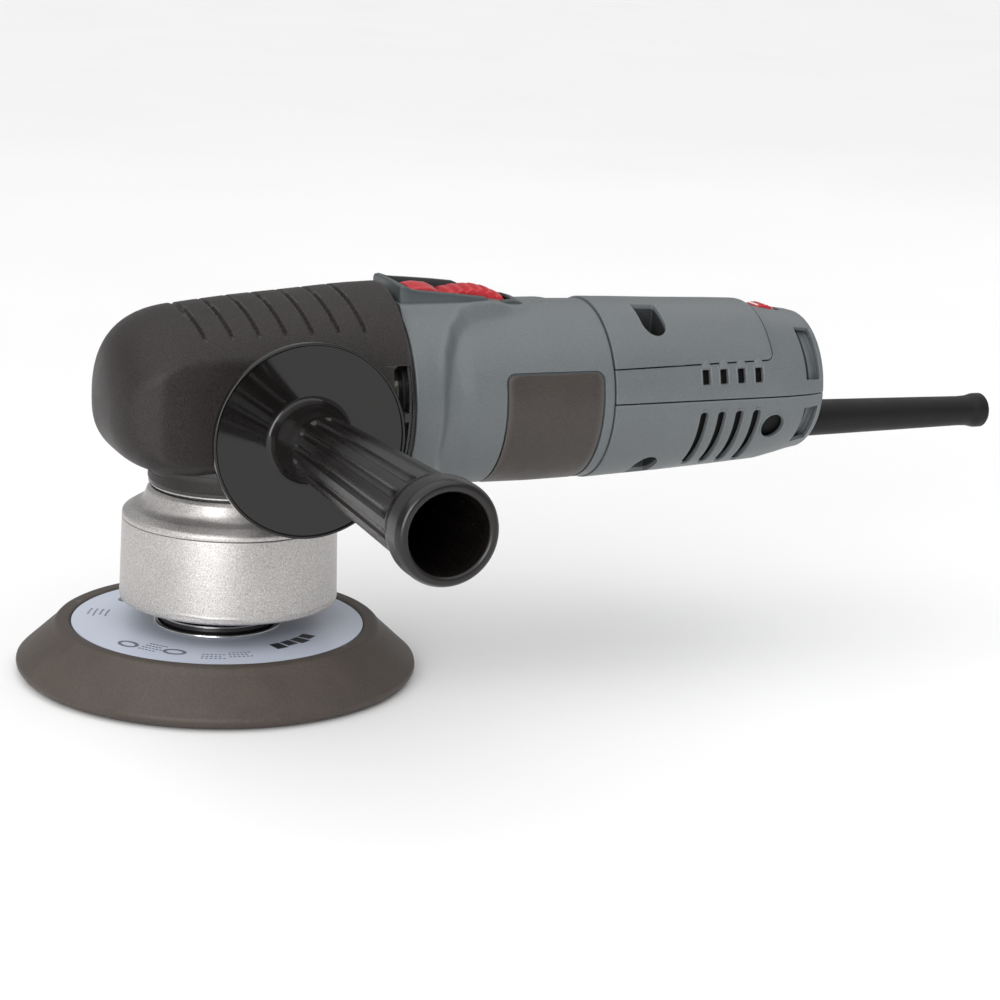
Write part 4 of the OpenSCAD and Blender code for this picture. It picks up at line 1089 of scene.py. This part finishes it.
def build_dial():
    half = DIAL_HALF

    def knurled(r, along, turns):
        notch = (turns * 30 / (2 * math.pi)) % 1 - 0.5
        return r - 0.55 * eased(np.clip(1 - np.abs(notch) * 4, 0, 1)) * (abs(along) < half - 0.6)

    outline = filleted([(2.2, -half), (DIAL_R - 0.6, -half, 0.5), (DIAL_R, -half + 0.9, 0.4),
                        (DIAL_R, half - 0.9, 0.4), (DIAL_R - 0.6, half, 0.5), (2.2, half)])
    add_piece("dial_wheel", turned(outline, "-y", tuple(DIAL), 240, knurled),
              "dial", "red_plastic", "speed_dial")
    marks, top = [], DIAL_R + 0.05
    for turn in (0.9, 1.35, 1.8):
        c, s = math.cos(turn), math.sin(turn)
        line = [(DIAL.x + r * c + w * s, DIAL.z + r * s - w * c)
                for r, w in ((top - 0.7, -0.45), (top - 0.7, 0.45), (top, 0.45), (top, -0.45))]
        marks.append(prism(line, "y", -half + 1.0, half - 1.0))
    put(piece_of("dial_mark", joined(marks), MATERIALS["white_nylon"]), "dial", "red_plastic")


def build_boot():
    start, end, bore = lowest("cord_boot").x, highest("cord_boot").x, 3.9
    outline = filleted([
        (bore, start), (10.6, start, 0.5), (10.6, start + 6, 0.6), (9.2, start + 8, 1.5),
        (7.7, start + 11, 3), (7.5, start + 24), (6.9, start + 60), (6.3, end - 12, 6),
        (6.5, end - 8, 4), (7.3, end - 4.6, 1.6), (7.3, end - 1.0, 0.9),
        (6.4, end, 0.6), (4.4, end, 0.5), (bore, end - 1.2)])
    add_piece("cord_relief", turned(outline, "x", (0, 0, BOOT_Z), 72),
              "housing", "boot_rubber", "cord_boot")


# ---- room, light and camera ----

def build_room():
    far = 60000
    corners = [(-far, -far, 0), (far, -far, 0), (far, far, 0), (-far, far, 0)]
    paper = surface("floor_paper", (250, 250, 250), 0.7, speckle=0.004, mottle=0.004,
                    patch=300, depth=0, wear_and_edge_highlight=0)
    floor = piece_of("floor", (corners, [(0, 1, 2, 3)]), paper)
    floor.location.z = -0.0002

    world = bpy.data.worlds.new("studio")
    bpy.context.scene.world = world
    world.use_nodes = True
    sky = world.node_tree.nodes["Background"].inputs
    sky["Color"].default_value, sky["Strength"].default_value = (1, 1, 1, 1), 0.44

    target = Vector((0.08, 0, 0.09))
    for name, kind, place, size, power in (
            ("sun", "SUN", (-0.4, -0.4, 2.4), math.radians(95), 1.75),
            ("key", "AREA", (-1.1, -1.5, 0.55), 1.1, 20),
            ("edge", "AREA", (1.2, 0.9, 1.2), 0.8, 1.5)):
        light = bpy.data.lights.new(name, kind)
        light.energy = power
        if kind == "SUN":
            light.angle = size
        else:
            light.shape, light.size = "SQUARE", size
        lamp = bpy.data.objects.new(name, light)
        lamp.location = place
        lamp.rotation_euler = (Vector(place) - target).to_track_quat("Z", "Y").to_euler()
        bpy.context.scene.collection.objects.link(lamp)
    bpy.context.scene.view_settings.view_transform = "Standard"


def build_camera():
    azimuth, elevation, roll = (math.radians(v) for v in (-24.0, 14.0, 2.8))
    target, distance = Vector((0.1119, 0, 0.0596)), 0.9643
    back = Vector((math.sin(azimuth) * math.cos(elevation),
                   -math.cos(azimuth) * math.cos(elevation), math.sin(elevation)))
    right = Vector((math.cos(azimuth), math.sin(azimuth), 0))
    up = back.cross(right)
    right, up = (right * math.cos(roll) + up * math.sin(roll),
                 up * math.cos(roll) - right * math.sin(roll))
    camera = bpy.data.objects.new("camera", bpy.data.cameras.new("camera"))
    sensor = 36.0
    camera.data.sensor_width, camera.data.lens = sensor, sensor * 2.42
    camera.data.clip_start, camera.data.clip_end = 0.01, 400
    camera.matrix_world = Matrix.Translation(target + back * distance) @ Matrix(
        (right, up, back)).transposed().to_4x4()
    bpy.context.scene.collection.objects.link(camera)
    bpy.context.scene.camera = camera


dress_cad_nodes()
build_room()
build_camera()
build_pad()
build_label_print()
build_shroud()
build_neck()
build_head()
build_handle()
build_motor()
build_switch()
build_rear()
build_wells()
build_rear_end()
build_dial()
build_boot()
